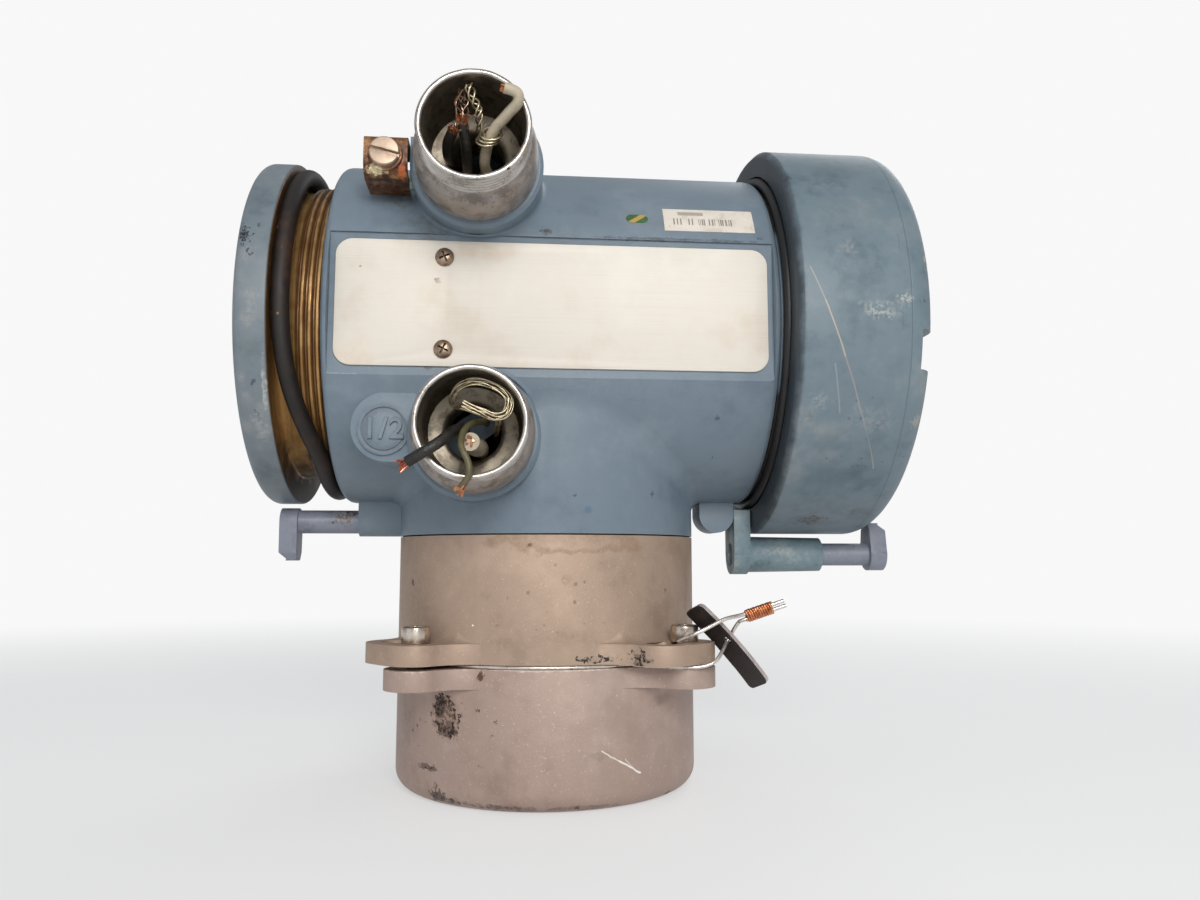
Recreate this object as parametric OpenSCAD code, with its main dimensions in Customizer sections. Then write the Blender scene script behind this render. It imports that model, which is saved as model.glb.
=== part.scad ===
// Field-mount transmitter of a coriolis flow meter, on its core processor housing.
// A two-compartment barrel lies along X on a round neck. Under the neck stand a grey
// core housing and its end cap. Two conduit fittings point forward, toward -Y.
// Origin: centre of the end cap's flat underside. +Z runs up the neck, +X to the display end.

/* [Barrel] */
// Outer radius of the barrel
barrel_r = 57; // [56:0.5:59]
// Length of the barrel from the neck axis to each end
barrel_half = 68.5; // [66:0.5:71]
// How far the neck reaches below the barrel's underside
neck_reach = 11.4; // [10:0.2:15]
// Wall of the wiring compartment
wiring_wall = 11; // [10:0.5:13]
// Wall of the electronics compartment
board_wall = 7; // [6:0.5:8]
// Thickness of the wall between the compartments
divider_t = 6; // [5:0.5:7]
// Distance of the divider's wiring face from the neck axis
divider_x = 14; // [13:0.5:15]
// Depth of the nameplate flat below the barrel's crest
flat_depth = 4.6; // [4.2:0.1:4.8]

/* [Neck and core housing] */
// Outer radius of the neck, the core housing and the end cap
neck_r = 49.6; // [49:0.2:51]
// Wall of the neck, the core housing and the end cap
neck_wall = 5.6; // [5:0.2:6]
// Height of the core housing between its two joint faces
core_h = 38; // [36:0.5:40]
// Height of the end cap
cap_h = 41; // [39:0.5:44]
// Dark gap between the core housing and the end cap
flange_gap = 1.2; // [1.1:0.1:1.6]
// Hairline gap between the neck and the core housing
neck_gap = 0.4; // [0.2:0.1:0.6]
// Thickness of the screw ears
ear_t = 6; // [5:0.5:7]
// Distance of the ear screws' axes from the outer wall
ear_off = 7.4; // [6.9:0.1:8.4]
// Radius of the rounded ear tips
ear_r = 9.2; // [8.5:0.1:10]
// Angle over which the core housing's ears are drawn out for their slots
ear_slot_angle = 10; // [8:1:12]

/* [Wiring cover] */
// How far the wiring cover's flange stands out past the barrel
flange_overhang = 0.4; // [0:0.1:1.4]
// Thickness of the flange
wiring_flange_t = 10.1; // [9:0.1:11]
// Distance by which the wiring cover stands unscrewed from the barrel
wiring_open = 14.5; // [14:0.1:16]
// Wall between the wiring cover's thread crest and the barrel's outside
thread_wall = 7; // [6.7:0.1:7.5]
// Length of the threaded skirt behind the flange
skirt_len = 27; // [26:0.5:28]
// Section radius of the loose sealing ring
loose_ring_r = 2.65; // [2.4:0.05:2.7]
// Lean of the loose sealing ring off the cover's plane
loose_ring_lean = 4.7; // [4:0.1:4.8]
// Where the loose ring lies nearest the flange, turned forward from the top
loose_ring_turn = 35; // [0:5:60]

/* [Display cover] */
// Wall of the display cover outside its thread
display_cover_wall = 12.2; // [11.6:0.1:12.6]
// Length of the display cover
display_cover_len = 42.3; // [41.5:0.1:42.5]
// Gap between the barrel's end and the display cover
display_gap = 1.8; // [1.6:0.1:2]
// Step from the barrel down to the crest of its male thread for the display cover
spigot_step = 2; // [1.5:0.1:2.5]
// Width of the flat end rim between the display cover's rounded edge and its window lip
cover_rim = 9.2; // [8:0.1:10]
// Width of the sloping lip round the window
window_lip = 12; // [11:0.5:14]
// Depth of the spanner notches in the cover's end rim
notch_depth = 4.7; // [4:0.1:5]

/* [Locks] */
// Shank radius of both lock screws
lock_shank_r = 3.9; // [3.6:0.1:4]
// Distance of the wiring cover's lock screw below the flange's rim
wiring_lock_off = 6.1; // [5.9:0.1:7.1]
// Distance of the display cover's lock screw below the display cover
display_lock_off = 7.2; // [6.8:0.1:7.8]
// Length of the display lock's sleeve
sleeve_len = 26; // [24:0.5:28]

/* [Conduit fittings] */
// Distance of the conduit axes from the neck axis, on the wiring side
conduit_x = 23.6; // [23:0.1:24]
// Height of each conduit axis above or below the barrel axis
conduit_z = 39.6; // [39.4:0.1:40]
// Crest radius of the fittings' outer thread
fitting_thread_r = 15.7; // [15.5:0.1:16]
// Radius of the fittings' bore at the mouth
fitting_bore_r = 14; // [13.8:0.1:14.1]
// Radius of the fittings' collar
fitting_collar_r = 17.8; // [17.4:0.1:18.2]
// Length of a fitting from its mouth to its seat on the boss
fitting_len = 26; // [25:0.5:27]
// How far the upper boss face stands in front of the barrel
upper_boss_out = 3.4; // [3:0.1:4]
// How far the lower boss face lies behind the barrel's front
lower_boss_in = 4.3; // [3.6:0.1:5]
// Least distance of the lower boss face in front of the neck
lower_boss_clear = 3.1; // [2.5:0.1:3.5]

/* [Nameplate and labels] */
// Gap between the nameplate and each end of its flat
plate_end_gap = 1.75; // [1.25:0.25:3.5]
// Height of the nameplate
plate_h = 38; // [36:0.5:38.5]
// Thickness of the nameplate
plate_t = 0.8; // [0.6:0.1:1]

/* [Wires] */
// Radius of the insulated conductors
wire_r = 1.5; // [1.3:0.1:1.6]
// Radius of the bare drain strands
drain_r = 0.6; // [0.4:0.1:0.7]
// Radius of the seal wire
seal_r = 0.5; // [0.4:0.05:0.55]

/* [Hidden] */
$fn = 96;

// Colours
paint_blue = [0.36, 0.47, 0.56];
paint_lavender = [0.50, 0.54, 0.64];
cast_grey = [0.62, 0.57, 0.53];
zinc = [0.72, 0.72, 0.72];
steel = [0.66, 0.66, 0.65];
tarnish = [0.62, 0.50, 0.34];
chromate = [0.66, 0.50, 0.26];
rubber_black = [0.06, 0.06, 0.06];
plate_metal = [0.86, 0.84, 0.80];
paper = [0.88, 0.87, 0.84];
board_green = [0.10, 0.34, 0.20];
plastic_dark = [0.13, 0.14, 0.16];
plastic_grey = [0.45, 0.47, 0.48];
copper = [0.72, 0.40, 0.24];
wire_white = [0.80, 0.78, 0.72];
wire_olive = [0.32, 0.30, 0.18];
glass_clear = [0.70, 0.80, 0.82, 0.4];

// Clearances
fit_gap = 0.05;      // radial, round part in its own hole
thread_gap = 0.1;    // radial, male thread crest in its bore
seat_gap = 0.3;      // between curved faces that only lie near each other
eps = 0.5;           // overshoot of cutting solids
bite = 0.05;         // how far a faired arc runs into the face that it joins

// Radii that follow from the barrel and the neck
wiring_bore_r = barrel_r - wiring_wall;
board_bore_r = barrel_r - board_wall;
wiring_thread_r = barrel_r - thread_wall;
wiring_flange_r = barrel_r + flange_overhang;
spigot_r = barrel_r - spigot_step;
display_cover_r = spigot_r + display_cover_wall;
neck_bore_r = neck_r - neck_wall;
ear_ring_r = neck_r + ear_off;
neck_drop = barrel_r + neck_reach;

// Heights of the stack
ear_top = cap_h + flange_gap + ear_t;
core_z0 = cap_h + flange_gap;
core_z1 = core_z0 + core_h;
neck_z0 = core_z1 + neck_gap;
axis_z = neck_z0 + neck_drop;

// Nameplate seat
flat_y = barrel_r - flat_depth;
plate_z = axis_z - 0.8;
flat_top = 20.3;
flat_end_rim = 2;
plate_w = 2 * (barrel_half - flat_end_rim - plate_end_gap);
plate_screw_x = -33;
plate_screw_dz = 13.9;
plate_screw_r = 1.4;

// Display end
spigot_len = 18;
cover_x0 = barrel_half + display_gap;
cover_x1 = cover_x0 + display_cover_len;
cover_edge = 8;
rim_in_r = display_cover_r - cover_edge - cover_rim;
window_r = rim_in_r - window_lip;
cover_lip_t = 4.5;
glass_t = 9.5;
glass_r = window_r + 3;
gasket_t = 0.8;
glass_x1 = cover_x1 - cover_lip_t - 2.6 - gasket_t;
glass_x0 = glass_x1 - glass_t;
window_ring_t = 5;
o_ring_r = 1.6;
o_ring_mid_r = spigot_r + seat_gap + o_ring_r;

// Wiring end
flange_x1 = -barrel_half - wiring_open;
flange_x0 = flange_x1 - wiring_flange_t;
skirt_x1 = flange_x1 + skirt_len;
thread_bore_end = -barrel_half + skirt_len + 1;
loose_mid_r = wiring_thread_r + 0.65 + loose_ring_r;

// Locks
wiring_lock_z = axis_z - wiring_flange_r - wiring_lock_off;
display_lock_z = axis_z - display_cover_r - display_lock_off;
lock_boss_r = lock_shank_r + 1;
tongue_t = 7.2;
wiring_tongue_lap = 6.9;
display_tongue_lap = 3.9;
arm_inset = 4.4;
arm_x0 = barrel_half - arm_inset;
arm_t = 5.7;
arm_x1 = arm_x0 + arm_t;
lug_drop = 4;
lug_z = axis_z - barrel_r - lug_drop;
lug_r = 6;
bracket_screw_z = lug_z - 2;
bracket_screw_r = 2;
bracket_head_r = 3.6;

// Conduits
upper_conduit_z = axis_z + conduit_z;
lower_conduit_z = axis_z - conduit_z;
upper_boss_y = barrel_r + upper_boss_out;
lower_boss_y = max(barrel_r - lower_boss_in, neck_r + lower_boss_clear);
boss_r = 19.6;
nipple_r = 10.5;
nipple_len = 13;
conduit_hole_r = 8.5;

// Ears
ear_angles = [45, 135, 225, 315];
ear_fillet_r = 14;
screw_r = 2.5;

// Ground clamp
ground_off = 26.4;
ground_x = -conduit_x - ground_off;
ground_z = upper_conduit_z + 1;
ground_boss_y = barrel_r - 3;
saddle_y = barrel_r + 4.5;
saddle_back_y = barrel_r - 11;
saddle_t = 1.6;
saddle_half_w = 6.3;

// Core processor
puck_r = neck_bore_r - 4;
puck_ring_r = puck_r - 10;
puck_z0 = core_z0 + 9;
puck_h = 23;
deck_t = 5;
deck_z1 = core_z1 + 6;
deck_z0 = deck_z1 - deck_t;

// Electronics
board_r = board_bore_r - 6;
board_t = 1.6;
power_board_x = 8;
processor_board_x = 28;
display_x = barrel_half - 6.5;
display_t = 16;
display_r = board_bore_r - 5;
post_ring_r = board_r - 8;
plug_z = axis_z - board_r + 4;
post_angles = [45, 135, 225, 315];

// ---------- helpers ----------

// Turns the local Z axis to +X, at the barrel's height
module on_barrel_axis() {
    translate([0, 0, axis_z])
        rotate([0, 90, 0])
            children();
}

// Turns the local Z axis to -Y
module facing_front() {
    rotate([90, 0, 0])
        children();
}

module ring_at(angles, radius) {
    for (a = angles)
        rotate([0, 0, a])
            translate([radius, 0, 0])
                children();
}

module tube_of(outer, inner, length) {
    difference() {
        cylinder(r = outer, h = length);
        translate([0, 0, -eps])
            cylinder(r = inner, h = length + 2 * eps);
    }
}

module torus(mid_r, section_r) {
    rotate_extrude()
        translate([mid_r, 0])
            circle(r = section_r, $fn = 32);
}

// Points of an arc round a centre, from angle a0 to a1
function arc(cx, cy, r, a0, a1, n = 8) =
    [for (i = [0:n]) [cx + r * cos(a0 + (a1 - a0) * i / n), cy + r * sin(a0 + (a1 - a0) * i / n)]];

function unit(v) = v / norm(v);
function tangent(p, i) = unit(p[min(i + 1, len(p) - 1)] - p[max(i - 1, 0)]);
function square_to(v, t) = unit(v - (v * t) * t);

// Side directions along a route, carried on from ring to ring without twist
function route_sides(p, first) =
    [for (i = 0, s = square_to(first, tangent(p, 0)); i < len(p);
        i = i + 1, s = i < len(p) ? square_to(s, tangent(p, i)) : s) s];

// A smooth point between b and c, with a and d as their neighbours
function spline(a, b, c, d, t) =
    0.5 * (2 * b + (c - a) * t + (2 * a - 5 * b + 4 * c - d) * t * t + (3 * b - a - 3 * c + d) * t * t * t);

// A route with extra points between the chosen ones
function smooth(p, steps = 2) =
    [for (i = [0:len(p) - 2], k = [0:steps - 1])
        spline(p[max(i - 1, 0)], p[i], p[i + 1], p[min(i + 2, len(p) - 1)], k / steps), p[len(p) - 1]];

// Round cord swept along a route
module cord(route, r, n = 8, first = [1, 0, 0]) {
    side = route_sides(route, first);
    m = len(route);
    points = [for (i = [0:m - 1], k = [0:n - 1])
        let (t = tangent(route, i), s = side[i], u = cross(t, s), a = 360 * k / n)
            route[i] + r * (cos(a) * s + sin(a) * u)];
    walls = [for (i = [0:m - 2], k = [0:n - 1], half = [0, 1])
        let (a = i * n + k, b = i * n + (k + 1) % n)
            half == 0 ? [a, a + n, b] : [b, a + n, b + n]];
    start = [for (k = [0:n - 1]) k];
    stop = [for (k = [n - 1:-1:0]) (m - 1) * n + k];
    polyhedron(points, concat([start], walls, [stop]), convexity = 6);
}

// ---------- main housing ----------

module barrel_blank() {
    edge = 3;
    spigot_x = barrel_half + spigot_len;
    on_barrel_axis()
        rotate_extrude()
            polygon(concat(
                [[0, -barrel_half]],
                arc(barrel_r - edge, -barrel_half + edge, edge, -90, 0, 4),
                arc(barrel_r - edge, barrel_half - edge, edge, 0, 90, 4),
                [[spigot_r, barrel_half], [spigot_r, spigot_x - 1], [spigot_r - 1, spigot_x], [0, spigot_x]]));
}

module conduit_boss(z, y) {
    translate([-conduit_x, -y, z])
        facing_front()
            mirror([0, 0, 1]) {
                translate([0, 0, 1])
                    cylinder(r = boss_r, h = y - 21);
                cylinder(r1 = boss_r - 1, r2 = boss_r, h = 1);
            }
}

// Pad with the raised disc for the conduit size, left of the lower boss
module size_boss() {
    pad_y = barrel_r - 7;
    pad_r = 10.3;
    pad_z = lower_conduit_z + 2.2;
    disc_z = lower_conduit_z + 1.3;
    translate([ground_x + 0.7, -pad_y, pad_z])
        facing_front()
            mirror([0, 0, 1]) {
                cylinder(r = pad_r, h = 20);
                translate([0, -pad_r, 0])
                    cube([20, 2 * pad_r, 20]);
            }
    translate([ground_x, -pad_y, disc_z])
        facing_front()
            difference() {
                translate([0, 0, -1])
                    cylinder(r = 7.6, h = 1.8);
                translate([0, 0, 0.4])
                    tube_of(6.6, 6.1, 1);
            }
}

// Stub under the ground clamp, and the cast block beside it
module ground_boss() {
    block_w = 8;
    block_h = 16;
    block_y = ground_boss_y + 2.6;
    translate([ground_x, -ground_boss_y, ground_z])
        facing_front()
            mirror([0, 0, 1])
                cylinder(r = 4.2, h = 24);
    translate([ground_x + saddle_half_w + seat_gap, -block_y, ground_z - block_h / 2])
        cube([block_w, 24, block_h]);
}

module wiring_lock_boss() {
    boss_x = -barrel_half + 4.9;
    translate([boss_x, 0, wiring_lock_z])
        rotate([0, 90, 0])
            cylinder(r = lock_boss_r, h = 18);
    translate([boss_x, -lock_boss_r, wiring_lock_z])
        cube([18, 2 * lock_boss_r, 9]);
}

module bracket_lug() {
    lug_w = 13;
    translate([arm_x0 - lug_r, lug_w / 2, lug_z])
        facing_front()
            cylinder(r = lug_r, h = lug_w);
    translate([arm_x0 - 2 * lug_r, -lug_w / 2, lug_z])
        cube([2 * lug_r, lug_w, 9]);
}

module neck_lugs() {
    ring_at([90, 210, 330], neck_screw_ring)
        translate([0, 0, deck_z1 + 0.2])
            cylinder(r = 5.5, h = neck_floor_z - deck_z1 + 1);
}

neck_screw_ring = neck_bore_r - 8;
neck_floor_z = axis_z - board_bore_r - 5;

module compartment_cuts() {
    on_barrel_axis() {
        translate([0, 0, -barrel_half - eps])
            cylinder(r = wiring_thread_r + thread_gap, h = barrel_half + thread_bore_end + eps);
        translate([0, 0, thread_bore_end - eps])
            cylinder(r = wiring_bore_r, h = -thread_bore_end - divider_x + eps);
        translate([0, 0, -divider_x + divider_t])
            cylinder(r = board_bore_r, h = barrel_half + spigot_len + divider_x);
    }
}

module conduit_cuts(z, y) {
    translate([-conduit_x, -y, z])
        facing_front()
            mirror([0, 0, 1]) {
                translate([0, 0, -eps])
                    cylinder(r = nipple_r + fit_gap, h = nipple_len + 1 + eps);
                cylinder(r = conduit_hole_r, h = y - 14);
            }
}

module main_housing() {
    color(paint_blue)
        difference() {
            union() {
                barrel_blank();
                translate([0, 0, neck_z0])
                    cylinder(r = neck_r, h = neck_drop);
                conduit_boss(upper_conduit_z, upper_boss_y);
                conduit_boss(lower_conduit_z, lower_boss_y);
                size_boss();
                ground_boss();
                wiring_lock_boss();
                bracket_lug();
            }
            compartment_cuts();
            difference() {
                translate([0, 0, neck_z0 - eps])
                    cylinder(r = neck_bore_r, h = neck_floor_z - neck_z0 + eps);
                neck_lugs();
            }
            conduit_cuts(upper_conduit_z, upper_boss_y);
            conduit_cuts(lower_conduit_z, lower_boss_y);
            // nameplate flat
            translate([-barrel_half + flat_end_rim, -barrel_r - 1, axis_z - barrel_r / 2])
                cube([2 * (barrel_half - flat_end_rim), flat_depth + 1, barrel_r / 2 + flat_top]);
            for (s = [-1, 1])
                translate([plate_screw_x, -flat_y + 5, plate_z + s * plate_screw_dz])
                    facing_front()
                        cylinder(r = plate_screw_r + fit_gap, h = 8);
            // ground screw hole
            translate([ground_x, -ground_boss_y + 9, ground_z])
                facing_front()
                    cylinder(r = screw_r + fit_gap, h = 12);
            // wiring cover lock screw hole
            translate([-barrel_half, 0, wiring_lock_z])
                rotate([0, 90, 0])
                    cylinder(r = lock_shank_r + fit_gap, h = 14);
            // lock bracket screw hole
            translate([arm_x0 - 9, 0, bracket_screw_z])
                rotate([0, 90, 0])
                    cylinder(r = bracket_screw_r + fit_gap, h = 12);
            // neck screw holes
            ring_at([90, 210, 330], neck_screw_ring)
                translate([0, 0, deck_z1 - 1])
                    cylinder(r = 2 + fit_gap, h = 8.2);
            // lead hole into the electronics compartment
            translate([22, 0, neck_floor_z - 2])
                cylinder(r = 8, h = 12);
            // feedthrough hole in the divider
            translate([-divider_x - 1, 0, axis_z])
                rotate([0, 90, 0])
                    cylinder(r = 9 + fit_gap, h = divider_t + 2);
        }
}

// ---------- nameplate and labels ----------

module nameplate() {
    corner = 5;
    color(plate_metal)
        translate([0, -flat_y, plate_z])
            facing_front()
                difference() {
                    linear_extrude(plate_t)
                        union() {
                            square([plate_w - 2 * corner, plate_h], center = true);
                            square([plate_w, plate_h - 2 * corner], center = true);
                            for (sx = [-1, 1], sy = [-1, 1])
                                translate([sx * (plate_w / 2 - corner), sy * (plate_h / 2 - corner)])
                                    circle(r = corner);
                        }
                    for (s = [-1, 1])
                        translate([plate_screw_x, s * plate_screw_dz, -eps])
                            cylinder(r = plate_screw_r + fit_gap, h = plate_t + 2 * eps);
                }
}

module nameplate_screws() {
    head_r = 2.8;
    head_t = 1.9;
    color(steel)
        for (s = [-1, 1])
            translate([plate_screw_x, -flat_y - plate_t, plate_z + s * plate_screw_dz])
                facing_front()
                    difference() {
                        rotate_extrude()
                            polygon(concat([[0, -4.8], [plate_screw_r, -4.8], [plate_screw_r, 0], [head_r, 0]],
                                arc(head_r - 1.4, head_t - 1.4, 1.4, 0, 90, 5), [[0, head_t]]));
                        for (a = [20, 110])
                            rotate([0, 0, a])
                                translate([-1.5, -0.35, 0.7])
                                    cube([3, 0.7, 2]);
                    }
}

// A piece of thin film on the barrel, bounded by the 2D shape given in plan
module barrel_film(t) {
    intersection() {
        on_barrel_axis()
            translate([0, 0, -barrel_half])
                tube_of(barrel_r + t, barrel_r + 0.02, 2 * barrel_half);
        children();
    }
}

module stock_label() {
    color(paper)
        barrel_film(0.15)
            translate([barrel_half - 21, 0, axis_z])
                rotate([-29.9, 0, 0])
                    translate([-14.1, -barrel_r - 2, -5])
                        cube([28.2, 8, 10]);
}

module inspection_sticker() {
    color([0.42, 0.46, 0.26])
        barrel_film(0.12)
            translate([barrel_half - 43.4, 0, axis_z])
                rotate([-29.7, 0, 0])
                    translate([0, -barrel_r + 4, 0])
                        facing_front()
                            union() {
                                for (s = [-1, 1])
                                    translate([s * 1.6, 0, 0])
                                        cylinder(r = 1.8, h = 8);
                                translate([-1.6, -1.8, 0])
                                    cube([3.2, 3.6, 8]);
                            }
}

// ---------- conduit fittings and ground clamp ----------

// Revolved about the conduit axis: local Z = 0 on the boss face, mouth at +fitting_len
module conduit_fitting() {
    mouth = fitting_len;
    seat_r = 10.8;
    pipe_r = 8;
    color(zinc)
        rotate_extrude()
            polygon(concat(
                [[pipe_r, -nipple_len], [nipple_r - 0.8, -nipple_len], [nipple_r, -nipple_len + 1],
                 [nipple_r, 0], [fitting_collar_r - 0.8, 0], [fitting_collar_r, 0.8]],
                [[fitting_collar_r, 9.5]],
                arc(fitting_collar_r - 4, 9.5, 4, 0, 40, 4),
                [[fitting_thread_r - 0.9, 15.6], [fitting_thread_r - 0.9, 17], [fitting_thread_r, 17.6],
                 [fitting_thread_r, mouth - 0.8], [fitting_thread_r - 0.6, mouth],
                 [fitting_bore_r + 0.5, mouth], [fitting_bore_r, mouth - 0.7],
                 [fitting_bore_r, 5], [seat_r, 3], [pipe_r, 2.4]]));
}

module upper_conduit_fitting() {
    translate([-conduit_x, -upper_boss_y, upper_conduit_z])
        facing_front()
            conduit_fitting();
}

module lower_conduit_fitting() {
    translate([-conduit_x, -lower_boss_y, lower_conduit_z])
        facing_front()
            conduit_fitting();
}

module ground_clamp() {
    half_w = saddle_half_w;
    half_h = 6.1;
    leg = saddle_y - saddle_back_y;
    color(tarnish)
        translate([ground_x, -saddle_y, ground_z])
            facing_front()
                mirror([0, 0, 1])
                    difference() {
                        translate([-half_w, -half_h, 0])
                            cube([2 * half_w, 2 * half_h, leg]);
                        translate([-half_w - eps, -half_h + saddle_t, saddle_t])
                            cube([2 * half_w + 2 * eps, 2 * half_h - 2 * saddle_t, leg]);
                        translate([0, 0, -eps])
                            cylinder(r = screw_r + 0.2, h = saddle_t + 2 * eps);
                    }
}

module ground_screw() {
    head_r = 4.3;
    head_t = 3.2;
    color(steel)
        translate([ground_x, -saddle_y, ground_z])
            facing_front()
                difference() {
                    union() {
                        translate([0, 0, -saddle_y + ground_boss_y - 8])
                            cylinder(r = screw_r, h = saddle_y - ground_boss_y + 8);
                        cylinder(r = head_r, h = head_t - 0.3);
                        translate([0, 0, head_t - 0.3])
                            cylinder(r1 = head_r, r2 = head_r - 0.3, h = 0.3);
                    }
                    rotate([0, 0, -14])
                        translate([-head_r - 1, -0.55, head_t - 1.3])
                            cube([2 * head_r + 2, 1.1, 2]);
                }
}

// ---------- locks ----------

// Tongue-headed lock screw: shank from local Z = -length to 0, tongue beyond, pointing to +X
module lock_screw(length, tongue_len, heel) {
    tongue_w = 9.6;
    color(paint_lavender) {
        difference() {
            union() {
                translate([0, 0, -length])
                    cylinder(r = lock_shank_r, h = length);
                cylinder(r = heel, h = tongue_t);
                linear_extrude(tongue_t)
                    polygon([[0, -heel], [tongue_len - 2.5, -tongue_w / 2 + 0.6],
                        [tongue_len, -tongue_w / 2 + 2.4], [tongue_len, tongue_w / 2 - 2.4],
                        [tongue_len - 2.5, tongue_w / 2 - 0.6], [0, heel]]);
            }
            // bevel on the tongue's outer tip
            translate([tongue_len, 0, tongue_t])
                rotate([0, 55, 0])
                    cube([4, 20, 4.4], center = true);
        }
    }
}

module wiring_cover_lock_screw() {
    shank = wiring_open + 11;
    translate([-barrel_half - wiring_open - 0.6, 0, wiring_lock_z])
        rotate([0, -90, 0])
            rotate([0, 0, 180])
                lock_screw(shank, wiring_lock_off + wiring_tongue_lap, 4.6);
}

module display_cover_lock_screw() {
    translate([cover_x1 + 0.6, 0, display_lock_z])
        rotate([0, 90, 0])
            rotate([0, 0, 180])
                lock_screw(cover_x1 + 0.6 - arm_x0 - 1, display_lock_off + display_tongue_lap, 5.6);
}

module display_lock_bracket() {
    arm_w = 14;
    arm_top = axis_z - o_ring_mid_r - o_ring_r - 0.6;
    color(paint_blue)
        difference() {
            union() {
                translate([arm_x0, 0, display_lock_z])
                    rotate([0, 90, 0])
                        cylinder(r = 6.9, h = arm_t);
                translate([arm_x0, -arm_w / 2, display_lock_z])
                    cube([arm_t, arm_w, arm_top - display_lock_z]);
                translate([arm_x1, 0, display_lock_z])
                    rotate([0, 90, 0])
                        cylinder(r1 = 6.2, r2 = 5.8, h = sleeve_len);
            }
            translate([arm_x0 - eps, 0, display_lock_z])
                rotate([0, 90, 0])
                    cylinder(r = lock_shank_r + fit_gap, h = arm_t + sleeve_len + 2 * eps);
            translate([arm_x0 - eps, 0, bracket_screw_z])
                rotate([0, 90, 0])
                    cylinder(r = bracket_screw_r + fit_gap, h = arm_t + 2 * eps);
            translate([arm_x1 - 2, 0, bracket_screw_z])
                rotate([0, 90, 0])
                    cylinder(r1 = bracket_screw_r, r2 = bracket_head_r + 0.3, h = 2.05);
        }
}

module bracket_screw() {
    color(steel)
        translate([arm_x1, 0, bracket_screw_z])
            rotate([0, 90, 0])
                difference() {
                    union() {
                        translate([0, 0, -arm_t - 8])
                            cylinder(r = bracket_screw_r, h = arm_t + 7.9);
                        translate([0, 0, -1.8])
                            cylinder(r1 = bracket_screw_r, r2 = bracket_head_r, h = 1.7);
                    }
                    translate([0, 0, -1.5])
                        cylinder(r = 1.4, h = 2, $fn = 6);
                }
}

// ---------- covers ----------

module wiring_cover() {
    edge = 3;
    groove_r = wiring_thread_r - 1.6;
    groove_len = 6.2;
    hollow_r = wiring_thread_r - 6;
    end_t = 8;
    color(chromate)
        difference() {
            on_barrel_axis()
                rotate_extrude()
                    polygon(concat(
                        [[0, flange_x0], [wiring_flange_r - edge - 6, flange_x0]],
                        arc(wiring_flange_r - edge, flange_x0 + edge, edge, -90, 0, 5),
                        arc(wiring_flange_r - 1, flange_x1 - 1, 1, 0, 90, 3),
                        [[groove_r, flange_x1], [groove_r, flange_x1 + groove_len],
                         [wiring_thread_r, flange_x1 + groove_len + 0.8],
                         [wiring_thread_r, skirt_x1 - 1], [wiring_thread_r - 1, skirt_x1],
                         [hollow_r, skirt_x1], [hollow_r, flange_x0 + end_t + 2],
                         [hollow_r - 2, flange_x0 + end_t], [0, flange_x0 + end_t]]));
            // blind spanner holes in the outer face
            for (s = [-1, 1])
                translate([flange_x0 - eps, s * 32, axis_z])
                    rotate([0, 90, 0])
                        cylinder(r = 4, h = 4 + eps);
        }
}

module wiring_cover_o_ring() {
    color(rubber_black)
        translate([-barrel_half - wiring_open / 2, 0, axis_z])
            rotate([loose_ring_turn, 0, 0])
                rotate([0, -loose_ring_lean, 0])
                    rotate([0, 90, 0])
                        torus(loose_mid_r, loose_ring_r);
}

module display_cover() {
    lip_x0 = glass_x1 + gasket_t;
    cavity_r = spigot_r + 4;
    o_ring_pocket_r = o_ring_mid_r + o_ring_r + 0.5;
    color(paint_blue)
        difference() {
            on_barrel_axis()
                rotate_extrude()
                    polygon(concat(
                        [[o_ring_pocket_r, cover_x0], [display_cover_r - 1.8, cover_x0],
                         [display_cover_r, cover_x0 + 1.8]],
                        arc(display_cover_r - cover_edge, cover_x1 - cover_edge, cover_edge, 0, 90, 8),
                        [[rim_in_r, cover_x1], [rim_in_r - 3, cover_x1 - cover_lip_t],
                         [window_r + 1, cover_x1 - cover_lip_t],
                         [window_r, cover_x1 - cover_lip_t - 1], [window_r, lip_x0],
                         [glass_r + seat_gap, lip_x0], [glass_r + seat_gap, glass_x0],
                         [glass_r + 6, glass_x0], [glass_r + 6, glass_x0 - 0.4 - window_ring_t],
                         [cavity_r, glass_x0 - 2 - window_ring_t], [cavity_r, barrel_half + spigot_len + 2],
                         [spigot_r + thread_gap, barrel_half + spigot_len + 1],
                         [spigot_r + thread_gap, cover_x0 + 3.4],
                         [o_ring_pocket_r, cover_x0 + 3.4]]));
            for (a = [0, 180])
                translate([0, 0, axis_z])
                    rotate([a, 0, 0])
                        translate([cover_x1 - notch_depth, -display_cover_r - 1, -20])
                            cube([notch_depth + 1, 18, 11.5]);
        }
}

module display_cover_o_ring() {
    color(rubber_black)
        on_barrel_axis()
            translate([0, 0, barrel_half + o_ring_r + 0.15])
                torus(o_ring_mid_r, o_ring_r);
}

module display_window() {
    color(glass_clear)
        on_barrel_axis()
            translate([0, 0, glass_x0])
                cylinder(r = glass_r, h = glass_t);
}

module window_gasket() {
    color(rubber_black)
        on_barrel_axis()
            translate([0, 0, glass_x1])
                tube_of(glass_r, window_r + 0.4, gasket_t);
}

module window_ring() {
    color(steel)
        on_barrel_axis()
            translate([0, 0, glass_x0 - window_ring_t])
                difference() {
                    tube_of(glass_r + 6 - thread_gap, window_r + 1, window_ring_t);
                    for (a = [0, 90])
                        rotate([0, 0, a])
                            translate([-60, -2, -eps])
                                cube([120, 4, 2 + eps]);
                }
}

// ---------- electronics ----------

module post_holes(r, h) {
    ring_at(post_angles, post_ring_r)
        translate([0, 0, -eps])
            cylinder(r = r, h = h + 2 * eps);
}

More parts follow.
